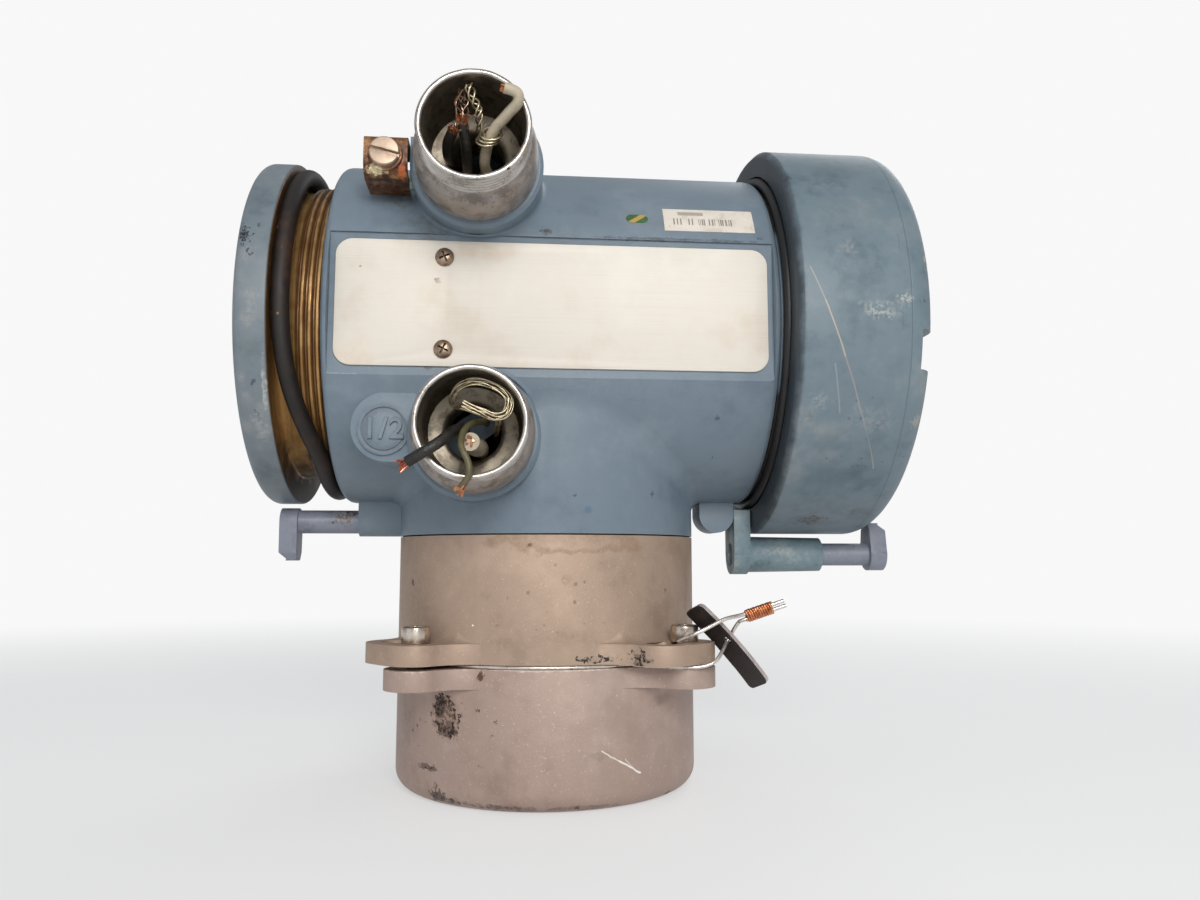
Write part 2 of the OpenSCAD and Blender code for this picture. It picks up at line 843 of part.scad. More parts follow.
module display_module() {
    color(plastic_dark)
        on_barrel_axis()
            translate([0, 0, display_x])
                difference() {
                    union() {
                        cylinder(r = display_r, h = display_t - 2);
                        cylinder(r = display_r - 2, h = display_t);
                    }
                    // recess for the display panel
                    translate([-20, -30, display_t - 4])
                        cube([24, 60, 5]);
                    // optical switches
                    for (s = [-1, 1])
                        translate([20, s * 14, display_t - 1.5])
                            cylinder(r = 5, h = 3);
                    // status lamp
                    translate([-28, 0, display_t - 1])
                        cylinder(r = 2.5, h = 3);
                    post_holes(1.6, display_t);
                }
}

module display_lcd() {
    color([0.55, 0.62, 0.50])
        on_barrel_axis()
            translate([-20 + 0.2, -30 + 0.2, display_x + display_t - 4])
                cube([24 - 0.4, 60 - 0.4, 2.5]);
}

module display_screws() {
    color(steel)
        on_barrel_axis()
            ring_at(post_angles, post_ring_r)
                translate([0, 0, display_x]) {
                    cylinder(r = 1.5, h = display_t);
                    translate([0, 0, display_t])
                        cylinder(r = 2.9, h = 2);
                }
}

module board(x) {
    on_barrel_axis()
        translate([0, 0, x])
            difference() {
                cylinder(r = board_r, h = board_t);
                post_holes(1.6, board_t);
            }
}

module processor_board() {
    color(board_green)
        union() {
            board(processor_board_x);
            translate([processor_board_x + board_t - 0.01, -12, axis_z - 8])
                cube([3, 24, 24]);
            translate([processor_board_x + board_t - 0.01, 18, axis_z - 14])
                cube([2, 12, 16]);
            translate([processor_board_x - 6, -9, plug_z])
                cube([6.01, 18, 8]);
        }
}

module power_board() {
    color(board_green)
        union() {
            board(power_board_x);
            translate([power_board_x - 12, -19, axis_z + 6])
                cube([12.01, 24, 22]);
            for (y = [12, 24])
                translate([power_board_x - 11, y, axis_z + 14])
                    rotate([0, 90, 0])
                        cylinder(r = 5, h = 11.01);
        }
}

module board_spacers() {
    spans = [[-divider_x + divider_t, power_board_x], [power_board_x + board_t, processor_board_x],
        [processor_board_x + board_t, display_x]];
    color(steel)
        on_barrel_axis()
            ring_at(post_angles, post_ring_r)
                for (s = spans)
                    translate([0, 0, s[0]])
                        cylinder(r = 3.2, h = s[1] - s[0]);
}

module compartment_feedthrough() {
    color(plastic_dark)
        translate([-divider_x, 0, axis_z])
            rotate([0, 90, 0])
                union() {
                    cylinder(r = 9, h = divider_t);
                    translate([0, 0, divider_t])
                        cylinder(r = 11, h = 3);
                    for (y = [-4, 0, 4])
                        translate([0, y, -4])
                            cylinder(r = 0.8, h = 4.01);
                }
}

terminal_depth = 20;
terminal_face = -divider_x - terminal_depth;
signal_ys = [-20, -12, -4, 4, 12, 20];
power_ys = [-12, 0, 12];

// Terminal block on the divider, with a row of screw wells in its face
module terminal_block(ys, z, h) {
    w = ys[len(ys) - 1] - ys[0] + 10;
    difference() {
        translate([terminal_face, -w / 2, z])
            cube([terminal_depth, w, h]);
        for (y = ys) {
            translate([terminal_face - eps, y, z + h / 2])
                rotate([0, 90, 0])
                    cylinder(r = 3.2, h = 3 + eps);
            translate([terminal_face - eps, y, z + h / 2])
                rotate([0, 90, 0])
                    cylinder(r = 1.6, h = 12 + eps);
        }
    }
}

signal_z = 13;
power_z = -27;
block_h = 14;

module signal_terminals() {
    color(plastic_grey)
        terminal_block(signal_ys, axis_z + signal_z, block_h);
}

module power_terminals() {
    color(plastic_dark)
        terminal_block(power_ys, axis_z + power_z, block_h);
}

module terminal_screws() {
    rows = [[signal_ys, signal_z], [power_ys, power_z]];
    color(steel)
        for (row = rows, y = row[0])
            translate([terminal_face, y, axis_z + row[1] + block_h / 2])
                rotate([0, 90, 0])
                    difference() {
                        union() {
                            translate([0, 0, 1])
                                cylinder(r = 3, h = 2);
                            translate([0, 0, 3])
                                cylinder(r = 1.5, h = 8);
                        }
                        translate([-4, -0.4, 0.5])
                            cube([8, 0.8, 1.3]);
                    }
}

// ---------- core housing, end cap and what they hold ----------

// Plan of one ear, faired into the wall by fillets on both sides
module ear_plan(a, wall_r, tip_r, fillet_r) {
    // corner of the triangle from the axis, over the tip's centre, to the fillet's centre
    to_fillet = wall_r - bite + fillet_r;
    tip_to_fillet = tip_r - bite + fillet_r;
    swing = acos((to_fillet * to_fillet + ear_ring_r * ear_ring_r - tip_to_fillet * tip_to_fillet)
        / (2 * to_fillet * ear_ring_r));
    rotate([0, 0, a]) {
        translate([ear_ring_r, 0])
            circle(r = tip_r);
        for (s = [-1, 1])
            difference() {
                polygon([[0, 0], [ear_ring_r, 0], to_fillet * [cos(swing), s * sin(swing)]]);
                translate(to_fillet * [cos(swing), s * sin(swing)])
                    circle(r = fillet_r);
            }
    }
}

module ear_plate(drawn_out) {
    linear_extrude(ear_t)
        union() {
            for (a = ear_angles) {
                ear_plan(a, neck_r, ear_r, ear_fillet_r);
                if (drawn_out > 0) {
                    ear_plan(a - drawn_out, neck_r, ear_r, ear_fillet_r);
                    // sector between the two tips, out to their common outer radius
                    intersection() {
                        circle(r = ear_ring_r + ear_r - bite);
                        polygon([[0, 0], 90 * [cos(a), sin(a)], 90 * [cos(a - drawn_out), sin(a - drawn_out)]]);
                    }
                }
            }
        }
}

module screw_slots(z, h) {
    slot_r = screw_r + 0.25;
    for (a = ear_angles)
        rotate([0, 0, a])
            translate([0, 0, z]) {
                translate([ear_ring_r, 0, 0])
                    cylinder(r = slot_r, h = h);
                rotate([0, 0, -ear_slot_angle])
                    translate([ear_ring_r, 0, 0])
                        cylinder(r = 4.7, h = h);
                rotate([0, 0, -ear_slot_angle])
                    rotate_extrude(angle = ear_slot_angle)
                        translate([ear_ring_r - slot_r + bite, 0])
                            square([2 * (slot_r - bite), h]);
            }
}

module core_housing() {
    spigot = neck_bore_r - thread_gap;
    color(cast_grey)
        difference() {
            union() {
                translate([0, 0, core_z0])
                    ear_plate(ear_slot_angle);
                rotate_extrude()
                    polygon([[0, core_z0], [neck_r, core_z0], [neck_r, core_z1], [spigot, core_z1],
                        [spigot, core_z1 + 1.6], [spigot - 2.3, core_z1 + 1.6], [spigot - 2.3, core_z1 + 4.4],
                        [spigot, core_z1 + 4.4], [spigot, deck_z1], [0, deck_z1]]);
            }
            translate([0, 0, core_z0 - eps])
                cylinder(r = neck_bore_r, h = core_z1 - core_z0 - 2 + eps);
            translate([0, 0, core_z0])
                cylinder(r = neck_bore_r - 4.5, h = deck_z0 - core_z0);
            translate([0, 0, deck_z0 - eps])
                cylinder(r = 14, h = deck_t + 2 * eps);
            screw_slots(core_z0 - eps, ear_t + 2 * eps);
            ring_at([90, 210, 330], neck_screw_ring)
                translate([0, 0, deck_z0 - eps])
                    cylinder(r = 2 + fit_gap, h = deck_t + 2 * eps);
            ring_at([30, 150, 270], puck_ring_r)
                translate([0, 0, deck_z0 - eps])
                    cylinder(r = 1.5 + fit_gap, h = 4 + eps);
        }
}

module core_processor() {
    post_r = 4;
    color(plastic_grey)
        difference() {
            union() {
                translate([0, 0, puck_z0])
                    cylinder(r = puck_r, h = puck_h - 1);
                translate([0, 0, puck_z0 + puck_h - 1])
                    cylinder(r1 = puck_r, r2 = puck_r - 1, h = 1);
                ring_at([30, 150, 270], puck_ring_r)
                    translate([0, 0, puck_z0])
                        cylinder(r = post_r, h = deck_z0 - puck_z0);
                translate([-10, -7, puck_z0 + puck_h - 1])
                    cube([20, 14, 4]);
            }
            ring_at([30, 150, 270], puck_ring_r)
                translate([0, 0, puck_z0 - eps])
                    cylinder(r = 1.5 + fit_gap, h = deck_z0 - puck_z0 + 2 * eps);
        }
}

module core_processor_screws() {
    color(steel)
        ring_at([30, 150, 270], puck_ring_r) {
            translate([0, 0, puck_z0])
                cylinder(r = 1.5, h = deck_z0 - puck_z0 + 3.5);
            translate([0, 0, puck_z0 - 3])
                difference() {
                    cylinder(r = 2.75, h = 3);
                    translate([0, 0, -eps])
                        cylinder(r = 1.4, h = 2, $fn = 6);
                }
        }
}

module core_connector() {
    color([0.18, 0.38, 0.22])
        translate([-8, -5, puck_z0 + puck_h + 3])
            cube([16, 10, 9]);
}

lead_bottom = puck_z0 + puck_h + 12;

module core_lead() {
    lead_r = 3;
    rise = lead_bottom + 4;
    route = [[0, 0, lead_bottom], [0, 0, lead_bottom + 0.8], [0.6, 0, lead_bottom + 2.2],
        [2.6, 0, rise - 0.7], [6, 0, rise], [15, 0, rise], [19.5, 0, rise + 1.4], [22, 0, rise + 5.4],
        [22.8, 0, rise + 10], [processor_board_x - 3, 0, plug_z - 4], [processor_board_x - 3, 0, plug_z - 0.2]];
    color(plastic_dark)
        cord(route, lead_r, 8, [0, 1, 0]);
}

module neck_screws() {
    color(steel)
        ring_at([90, 210, 330], neck_screw_ring) {
            translate([0, 0, deck_z0])
                cylinder(r = 2, h = deck_t + 6.5);
            translate([0, 0, deck_z0 - 3])
                difference() {
                    cylinder(r = 3.4, h = 3);
                    translate([0, 0, -eps])
                        cylinder(r = 1.7, h = 2.2, $fn = 6);
                }
        }
}

module neck_o_ring() {
    color(rubber_black)
        translate([0, 0, core_z1 + 3])
            torus(neck_bore_r - 1.2, 1.1);
}

module flange_o_ring() {
    color(rubber_black)
        translate([0, 0, cap_h - 0.2])
            torus(neck_r - neck_wall / 2, 1.1);
}

module end_cap() {
    edge = 6;
    floor_t = 6;
    groove_mid = neck_r - neck_wall / 2;
    color(cast_grey)
        difference() {
            union() {
                rotate_extrude()
                    polygon(concat([[0, 0]], arc(neck_r - edge, edge, edge, -90, 0, 8),
                        [[neck_r, cap_h], [groove_mid + 1.3, cap_h], [groove_mid + 1.3, cap_h - 1.5],
                         [groove_mid - 1.3, cap_h - 1.5], [groove_mid - 1.3, cap_h], [neck_bore_r, cap_h],
                         [neck_bore_r, floor_t + 4], [neck_bore_r - 4, floor_t], [0, floor_t]]));
                difference() {
                    translate([0, 0, cap_h - ear_t])
                        ear_plate(0);
                    translate([0, 0, cap_h - ear_t - eps])
                        cylinder(r = neck_r - 1, h = ear_t + 2 * eps);
                }
            }
            ring_at(ear_angles, ear_ring_r)
                translate([0, 0, cap_h - ear_t - eps])
                    cylinder(r = screw_r + fit_gap, h = ear_t + 2 * eps);
        }
}

module cap_screws() {
    head_r = 4.25;
    head_h = 5;
    color(steel)
        ring_at(ear_angles, ear_ring_r)
            difference() {
                union() {
                    translate([0, 0, cap_h - ear_t + 0.5])
                        cylinder(r = screw_r, h = ear_top - cap_h + ear_t - 0.5);
                    translate([0, 0, ear_top])
                        cylinder(r = head_r, h = head_h - 0.4);
                    translate([0, 0, ear_top + head_h - 0.4])
                        cylinder(r1 = head_r, r2 = head_r - 0.4, h = 0.4);
                }
                translate([0, 0, ear_top + head_h - 2.6])
                    cylinder(r = 4 / sqrt(3), h = 3, $fn = 6);
            }
}

// ---------- seal ----------

seal_gap_z = cap_h + flange_gap / 2;
seal_ear_at = [ear_ring_r * cos(45), -ear_ring_r * sin(45), ear_top];
crimp_at = seal_ear_at + [17.3, -8.1, 7.9];
crimp_rise = 18;
crimp_len = 8.2;
wire_pitch = 0.8;
tag_at = seal_ear_at + [13.9, -7.7, 0.2];
tag_dip = 48.6;
tag_lean = -20;
tag_size = [30.5, 9, 1.2];
tag_hole = [-1.5, 3];

// Point in the crimp: one of its two wires (side -1 or 1), at a distance along it
function crimp_point(side, along) = crimp_at
    + along * [cos(crimp_rise), 0, sin(crimp_rise)]
    + side * wire_pitch * [-sin(crimp_rise), -0.4, cos(crimp_rise)];

// The wire runs round in the flange gap, comes out at the right front ear and up to the crimp
function seal_loop(r, a0, a1, n) =
    [for (i = [0:n]) let (a = a0 + (a1 - a0) * i / n) [r * cos(a), r * sin(a), seal_gap_z]];

// Point beside the right front ear, from the top of its screw's seat
function by_ear(x, y, z) = seal_ear_at + [x, y, z];

module seal_wire() {
    up = [0, 0, 1];
    in_gap = seal_gap_z - ear_top;
    color(steel) {
        cord(concat(seal_loop(neck_r - 0.7, -300, -62, 26),
            [by_ear(-11.8, -6.2, in_gap), by_ear(-4.3, -9.2, in_gap), by_ear(2.7, -10.1, in_gap),
             by_ear(7.1, -9.9, in_gap + 1.4), by_ear(9.7, -8.1, -2.6), by_ear(11.9, -5.3, 0.2),
             by_ear(13.7, -5.3, 3.2), by_ear(15.3, -6.7, 6), crimp_point(-1, -0.4), crimp_point(-1, 12.6)]),
            seal_r, 8, up);
        cord([by_ear(-3.5, -8.9, 0.65), by_ear(-0.8, -10.7, 2.2), by_ear(3.7, -11.3, 4.2),
            by_ear(10.3, -10.3, 7.2), crimp_point(1, -0.4), crimp_point(1, 12.2)],
            seal_r, 8, up);
    }
}

module seal_crimp() {
    color(copper)
        translate(crimp_at)
            rotate([0, 90 - crimp_rise, 0])
                difference() {
                    intersection() {
                        cylinder(r = 2, h = crimp_len);
                        translate([-1.8, -1.4, 0])
                            cube([3.6, 2.8, crimp_len]);
                    }
                    for (side = [-1, 1])
                        translate([-side * wire_pitch, -0.4 * side * wire_pitch, -eps])
                            cylinder(r = seal_r + 0.04, h = crimp_len + 2 * eps);
                }
}

module seal_tag() {
    color(plastic_dark)
        translate(tag_at)
            rotate([0, tag_dip, 0])
                rotate([tag_lean, 0, 0])
                    difference() {
                        translate([-tag_size[0] / 2, 0, -tag_size[2] / 2])
                            cube(tag_size);
                        translate([tag_hole[0], tag_hole[1], -1])
                            cylinder(r = 1.3, h = 2);
                    }
}

// ---------- cut conductors ----------

// Routes are measured from the middle of the fitting's seat on its boss
module at_seat(y, z) {
    translate([-conduit_x, -y, z])
        children();
}

module upper_white_wire() {
    route = smooth([[0.6, 54.4, -12.3], [0.6, 53.4, -9.6], [1.2, 48.4, -5.6], [3.1, 38.4, -4],
        [4.1, 24.4, -3.8], [4.1, 8.4, -3.8], [3.1, -3.6, -4.6], [2.6, -11.6, -4.1], [4.6, -18.6, 0.4],
        [8.8, -23.6, 3.8], [11.6, -27.2, 5.6], [11.4, -29.2, 7.4], [8, -30, 8.3]]);
    color(wire_white)
        at_seat(upper_boss_y, upper_conduit_z)
            cord(route, wire_r);
}

module upper_black_wires() {
    first = smooth([[-6.4, 56.4, -12.3], [-6.4, 55.4, -9.6], [-5.6, 49.4, -5.6], [-4.2, 40.4, -4.1],
        [-3.6, 24.4, -4], [-3, 8.4, -4.2], [-2.4, -3.6, -5.2], [-2.4, -10.6, -4.2], [-2.6, -15.6, -0.6],
        [-3.4, -19.1, 2.9]]);
    second = smooth([[-6.4, 64.4, -12.3], [-6.4, 63.8, -9.6], [-5.8, 56.4, -3.6], [-4, 46.4, 0],
        [-2.4, 26.4, 1], [-2.9, 8.4, 0.8], [-5, -1.6, -1.2], [-7.4, -9.6, -3], [-7.6, -14.6, -1.2],
        [-6, -18.1, 1]]);
    color(rubber_black)
        at_seat(upper_boss_y, upper_conduit_z) {
            cord(first, wire_r);
            cord(second, wire_r);
        }
}

module upper_drain_wires() {
    route = smooth([[5.6, 64.4, -12.3], [5.6, 63.8, -9.6], [4.2, 56.4, -2.2], [1.6, 44.4, 3.4],
        [0.6, 20.4, 4.4], [1, 4.4, 4], [1.2, -5.6, 2.2], [1, -13.6, 2], [1.2, -18.6, 5], [0.2, -20.6, 8.4],
        [-2, -21.6, 12.8]]);
    color(zinc)
        at_seat(upper_boss_y, upper_conduit_z)
            cord(route, drain_r);
}

module lower_white_wire() {
    route = smooth([[-0.4, 50.7, 12.3], [-0.4, 50.1, 9.6], [0, 44.7, 3.6], [1, 34.7, -0.6], [1.4, 22.7, -2],
        [1.6, 8.7, -3.8], [1.6, -1.3, -4.2], [1.4, -9.3, -5.2], [0.8, -17.3, -5.8], [0, -23.8, -5.2]]);
    color(wire_white)
        at_seat(lower_boss_y, lower_conduit_z)
            cord(route, 2.6);
}

module lower_black_wire() {
    route = smooth([[-6.4, 42.7, 12.3], [-6.4, 41.7, 9.6], [-5.2, 34.7, 4.4], [-3.4, 24.7, 3],
        [-3, 0.7, 1.6], [-2.8, -9.3, -0.4], [-2.8, -17.3, -1], [-4.4, -24.3, -2.4], [-7.6, -28.9, -5.8],
        [-11.4, -29.9, -8.5], [-16, -28.3, -11.2]]);
    color(rubber_black)
        at_seat(lower_boss_y, lower_conduit_z)
            cord(route, wire_r);
}

module lower_olive_wire() {
    route = smooth([[5.6, 42.7, 12.3], [5.6, 41.7, 9.6], [4.2, 34.7, 5.6], [3.2, 24.7, 4.8],
        [3.6, -1.3, 3.6], [2.6, -11.3, 2], [0.2, -19.3, 0.4], [-1.8, -24.9, -2.6], [-2.2, -28.3, -6.8],
        [-0.2, -29.5, -11.4], [-0.2, -29.5, -15], [-2.2, -28.9, -18]]);
    color(wire_olive)
        at_seat(lower_boss_y, lower_conduit_z)
            cord(route, 0.9);
}

module lower_drain_wires() {
    route = smooth([[5.6, 51.7, 12.3], [5.6, 51.1, 9.6], [5.6, 44.7, 3.6], [6.2, 32.7, 0.4],
        [6.6, -1.3, 0.4], [6.6, -7.3, 4.2], [0.6, -11.3, 5.6], [-5.4, -16.3, 6.2], [-3.8, -19.3, 10],
        [0.6, -20.3, 11.8], [5.8, -20.9, 10.6], [10, -21.3, 7.2], [9.4, -21.7, 3], [6.2, -22.1, 1.8],
        [2.2, -22.5, 3.2], [-2.4, -22.7, 5]]);
    color(zinc)
        at_seat(lower_boss_y, lower_conduit_z)
            cord(route, drain_r);
}

main_housing();
nameplate();
nameplate_screws();
stock_label();
inspection_sticker();
upper_conduit_fitting();
lower_conduit_fitting();
ground_clamp();
ground_screw();
display_lock_bracket();
bracket_screw();
display_cover_lock_screw();
wiring_cover_lock_screw();
wiring_cover();
wiring_cover_o_ring();
display_cover();
display_cover_o_ring();
display_window();
window_gasket();
window_ring();
display_module();
display_lcd();
display_screws();
processor_board();
power_board();
board_spacers();
compartment_feedthrough();
signal_terminals();
power_terminals();
terminal_screws();
core_housing();
core_processor();
core_processor_screws();
core_connector();
core_lead();
neck_screws();
neck_o_ring();
flange_o_ring();
end_cap();
cap_screws();
seal_wire();
seal_crimp();
seal_tag();
upper_white_wire();
upper_black_wires();
upper_drain_wires();
lower_white_wire();
lower_black_wire();
lower_olive_wire();
lower_drain_wires();
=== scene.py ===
"""Studio scene of a coriolis flow meter's field transmitter on its core processor housing.

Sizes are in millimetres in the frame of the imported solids: the origin is under the end cap, +Z runs
up the neck, +X along the barrel to the display end, and -Y the way that the conduits face.
"""
from __future__ import annotations

import logging
import math
import random
from dataclasses import dataclass
from enum import Enum
from typing import Any, Callable, Iterable, Sequence

import bmesh
import bpy
from mathutils import Matrix, Vector

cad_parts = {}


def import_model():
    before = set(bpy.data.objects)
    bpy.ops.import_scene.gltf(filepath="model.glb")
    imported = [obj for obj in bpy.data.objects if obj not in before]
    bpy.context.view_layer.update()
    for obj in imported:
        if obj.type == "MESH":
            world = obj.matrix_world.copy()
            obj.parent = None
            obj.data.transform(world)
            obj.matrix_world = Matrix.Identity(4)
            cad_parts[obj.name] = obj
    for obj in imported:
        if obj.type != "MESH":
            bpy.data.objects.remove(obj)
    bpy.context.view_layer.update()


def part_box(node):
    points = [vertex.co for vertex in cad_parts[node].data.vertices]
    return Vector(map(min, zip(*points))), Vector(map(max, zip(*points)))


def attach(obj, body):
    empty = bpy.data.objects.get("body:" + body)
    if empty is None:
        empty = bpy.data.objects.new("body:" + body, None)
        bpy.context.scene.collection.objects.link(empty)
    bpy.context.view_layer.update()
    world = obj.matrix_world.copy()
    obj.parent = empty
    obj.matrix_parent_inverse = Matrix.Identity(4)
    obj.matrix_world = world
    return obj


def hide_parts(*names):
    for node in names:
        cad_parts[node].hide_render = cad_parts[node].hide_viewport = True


LOG = logging.getLogger("transmitter")
MM = 0.001
TO_MM = 1000.0
TURN = 2 * math.pi
FLECK_AMOUNT = 0.45
SCRATCH_DEPTH = 0.02
Point = tuple[float, float, float]
Pair = tuple[float, float]
Tone = tuple[float, float, float]
Line = list[Vector]
Face = tuple[int, ...]
Piece = bpy.types.Object
Socket = bpy.types.NodeSocket
Tree = bpy.types.NodeTree


class Body(Enum):
    """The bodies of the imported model."""

    TRANSMITTER = "transmitter"
    LOOSE_RING = "loose_ring"
    WIRING_COVER = "wiring_cover"
    DISPLAY_COVER = "display_cover"
    WIRING_LOCK = "wiring_lock"
    DISPLAY_LOCK = "display_lock"


# ---------------------------------------------------------------- mesh making


@dataclass(frozen=True)
class Axis:
    """A turning axis: a point on it, its direction, and the direction where angles start."""

    origin: Point
    along: Point
    side: Point

    def place(self, radius: float, angle: float, height: float) -> Vector:
        """Gives the point at a radius, an angle and a height.

        Args:
            radius: distance from the axis.
            angle: angle in radians from the side direction.
            height: distance along the axis.

        Returns:
            The point in millimetres.
        """
        along, side = Vector(self.along).normalized(), Vector(self.side).normalized()
        other = along.cross(side)
        return Vector(self.origin) + along * height + (side * math.cos(angle) + other * math.sin(angle)) * radius


def linked(name: str, data: bpy.types.ID) -> Piece:
    """Makes an object that holds the data, in the scene."""
    made = bpy.data.objects.new(name, data)
    bpy.context.scene.collection.objects.link(made)
    return made


def shaded(mesh: bpy.types.Mesh, sharp: float) -> None:
    """Shades a mesh smooth, but for edges sharper than so many degrees."""
    mesh.shade_smooth()
    mesh.set_sharp_from_angle(angle=math.radians(sharp))


def solid_piece(name: str, solid: bmesh.types.BMesh, sharp: float) -> Piece:
    """Makes a piece of an edited solid, which is used up.

    Args:
        name: the piece's name.
        solid: the edited solid.
        sharp: shading angle in degrees.

    Returns:
        The piece, in the scene.
    """
    mesh = bpy.data.meshes.new(name)
    solid.to_mesh(mesh)
    solid.free()
    shaded(mesh, sharp)
    return linked(name, mesh)


def new_mesh(name: str, points: Iterable[Vector], faces: Iterable[Sequence[int]],
             sharp: float = 35.0) -> Piece:
    """Makes a piece from points and faces.

    Args:
        name: the piece's name.
        points: corner points in millimetres.
        faces: corner numbers of each face.
        sharp: shading angle in degrees.

    Returns:
        The piece, in the scene.
    """
    raw = bpy.data.meshes.new(name)
    raw.from_pydata([tuple(p * MM) for p in points], [], [tuple(f) for f in faces])
    raw.validate()
    solid = bmesh.new()
    solid.from_mesh(raw)
    bpy.data.meshes.remove(raw)
    bmesh.ops.recalc_face_normals(solid, faces=solid.faces)
    return solid_piece(name, solid, sharp)


def strip_faces(rows: int, row: int, closed: bool, base: int = 0, turned_over: bool = False) -> list[Face]:
    """Gives the faces between neighbouring rows of points, each row being closed on itself.

    Args:
        rows: number of rows.
        row: number of points in a row.
        closed: whether the last row joins the first. If not, both ends are capped.
        base: number of the first point.
        turned_over: whether the faces run the other way.

    Returns:
        The faces.
    """
    faces: list[Face] = []
    for i in range(rows if closed else rows - 1):
        near, far = base + i * row, base + (i + 1) % rows * row
        for k in range(row):
            m = (k + 1) % row
            quad = (near + k, far + k, far + m, near + m)
            faces.append((quad[0], *quad[:0:-1]) if turned_over else quad)
    if not closed:
        first, last = range(base, base + row), range(base + (rows - 1) * row, base + rows * row)
        faces += [tuple(first[::-1]), tuple(last)] if turned_over else [tuple(first), tuple(last[::-1])]
    return faces


def arc(across: float, up: float, radius: float, first: float, last: float, steps: int) -> list[Pair]:
    """Gives the points of an arc in a plane, from one angle in degrees to another."""
    turns = [math.radians(first + (last - first) * k / steps) for k in range(steps + 1)]
    return [(across + radius * math.cos(a), up + radius * math.sin(a)) for a in turns]


def corner_arc(centre: Vector, first: Vector, last: Vector, radius: float, steps: int) -> Line:
    """Gives the points of an arc round a centre, from one direction to another."""
    spread = first.angle(last)
    return [centre + (first * math.sin((1 - k / steps) * spread) + last * math.sin(k / steps * spread))
            / math.sin(spread) * radius for k in range(steps + 1)]


def turned(name: str, axis: Axis, profile: Sequence[Pair], segments: int = 96,
           ripple: Callable[[float, float, int], float] | None = None, sharp: float = 35.0) -> Piece:
    """Turns a profile round an axis.

    Args:
        name: the piece's name.
        axis: the turning axis.
        profile: (radius, height) pairs. Where the first and last pair are equal the piece is a closed ring,
            otherwise its ends at radius zero are closed with fans.
        segments: number of steps round the axis.
        ripple: adds to the radius, from the angle, the height and the pair's number.
        sharp: shading angle in degrees.

    Returns:
        The turned piece.
    """
    ring = profile[0] == profile[-1]
    rows = list(profile[:-1]) if ring else list(profile)
    points: Line = []
    starts: list[tuple[int, bool]] = []
    for number, (radius, height) in enumerate(rows):
        tip = radius < 1e-6
        starts.append((len(points), tip))
        for step in range(1 if tip else segments):
            angle = TURN * step / segments
            grown = radius + (ripple(angle, height, number) if ripple and not tip else 0.0)
            points.append(axis.place(grown, angle, height))
    faces: list[Face] = []
    for (low, low_tip), (high, high_tip) in zip(starts, starts[1:] + starts[:1] if ring else starts[1:]):
        for step in range(segments):
            after = (step + 1) % segments
            if low_tip:
                faces.append((low, high + after, high + step))
            elif high_tip:
                faces.append((low + step, low + after, high))
            else:
                faces.append((low + step, low + after, high + after, high + step))
    return new_mesh(name, points, faces, sharp)


def spline_route(points: Sequence[Point], steps: int = 6) -> Line:
    """Runs a smooth line through points.

    Args:
        points: the chosen points in millimetres.
        steps: pieces between two chosen points.

    Returns:
        The points of the smooth line.
    """
    p = [Vector(q) for q in points]
    route: Line = []
    for i in range(len(p) - 1):
        a, b, c, d = p[max(i - 1, 0)], p[i], p[i + 1], p[min(i + 2, len(p) - 1)]
        for k in range(steps):
            t = k / steps
            route.append(0.5 * (2 * b + (c - a) * t + (2 * a - 5 * b + 4 * c - d) * t * t
                                + (3 * b - a - 3 * c + d) * t ** 3))
    return route + [p[-1]]


def side_vectors(route: Sequence[Vector]) -> list[tuple[Vector, Vector]]:
    """Carries two directions across a route along it, without twist.

    Args:
        route: the points of the route.

    Returns:
        The two directions at each point.
    """
    frames: list[tuple[Vector, Vector]] = []
    side = Vector((1.0, 0.13, 0.07))
    for i in range(len(route)):
        tangent = (route[min(i + 1, len(route) - 1)] - route[max(i - 1, 0)]).normalized()
        side = (side - tangent * side.dot(tangent)).normalized()
        frames.append((side, tangent.cross(side)))
    return frames


def cord_mesh(name: str, lines: Sequence[Sequence[Vector]], radius: float, sides: int = 12) -> Piece:
    """Sweeps round cords along lines, in one piece.

    Args:
        name: the piece's name.
        lines: the centre line of each cord.
        radius: the cords' radius.
        sides: corners of the round section.

    Returns:
        The swept piece.
    """
    points: Line = []
    faces: list[Face] = []
    turns = [TURN * k / sides for k in range(sides)]
    for line in lines:
        faces += strip_faces(len(line), sides, False, len(points), True)
        for spot, (side, other) in zip(line, side_vectors(line)):
            points += [spot + (side * math.cos(a) + other * math.sin(a)) * radius for a in turns]
    return new_mesh(name, points, faces, 50)


def strands(line: Sequence[Vector], count: int, spread: float, turns: float, seed: int, splay: float) -> list[Line]:
    """Lays strands beside each other round a centre line.

    Args:
        line: the centre line.
        count: number of strands.
        spread: their distance from the centre line.
        turns: full turns of lay over the line.
        seed: seed of the small irregularities.
        splay: extra distance at the far end.

    Returns:
        The centre line of each strand.
    """
    rng = random.Random(seed)
    frames = side_vectors(line)
    laid: list[Line] = []
    for n in range(count):
        wobble = [rng.uniform(-0.35, 0.35) for _ in range(6)]
        one: Line = []
        for i, (spot, (side, other)) in enumerate(zip(line, frames)):
            t = i / (len(line) - 1)
            angle = TURN * (n / count + turns * t) + wobble[0]
            r = spread * (1 + wobble[1] * math.sin(9 * t + 6 * wobble[2])) + splay * t * t * (1 + wobble[3])
            one.append(spot + (side * math.cos(angle) + other * math.sin(angle)) * r)
        laid.append(one)
    return laid


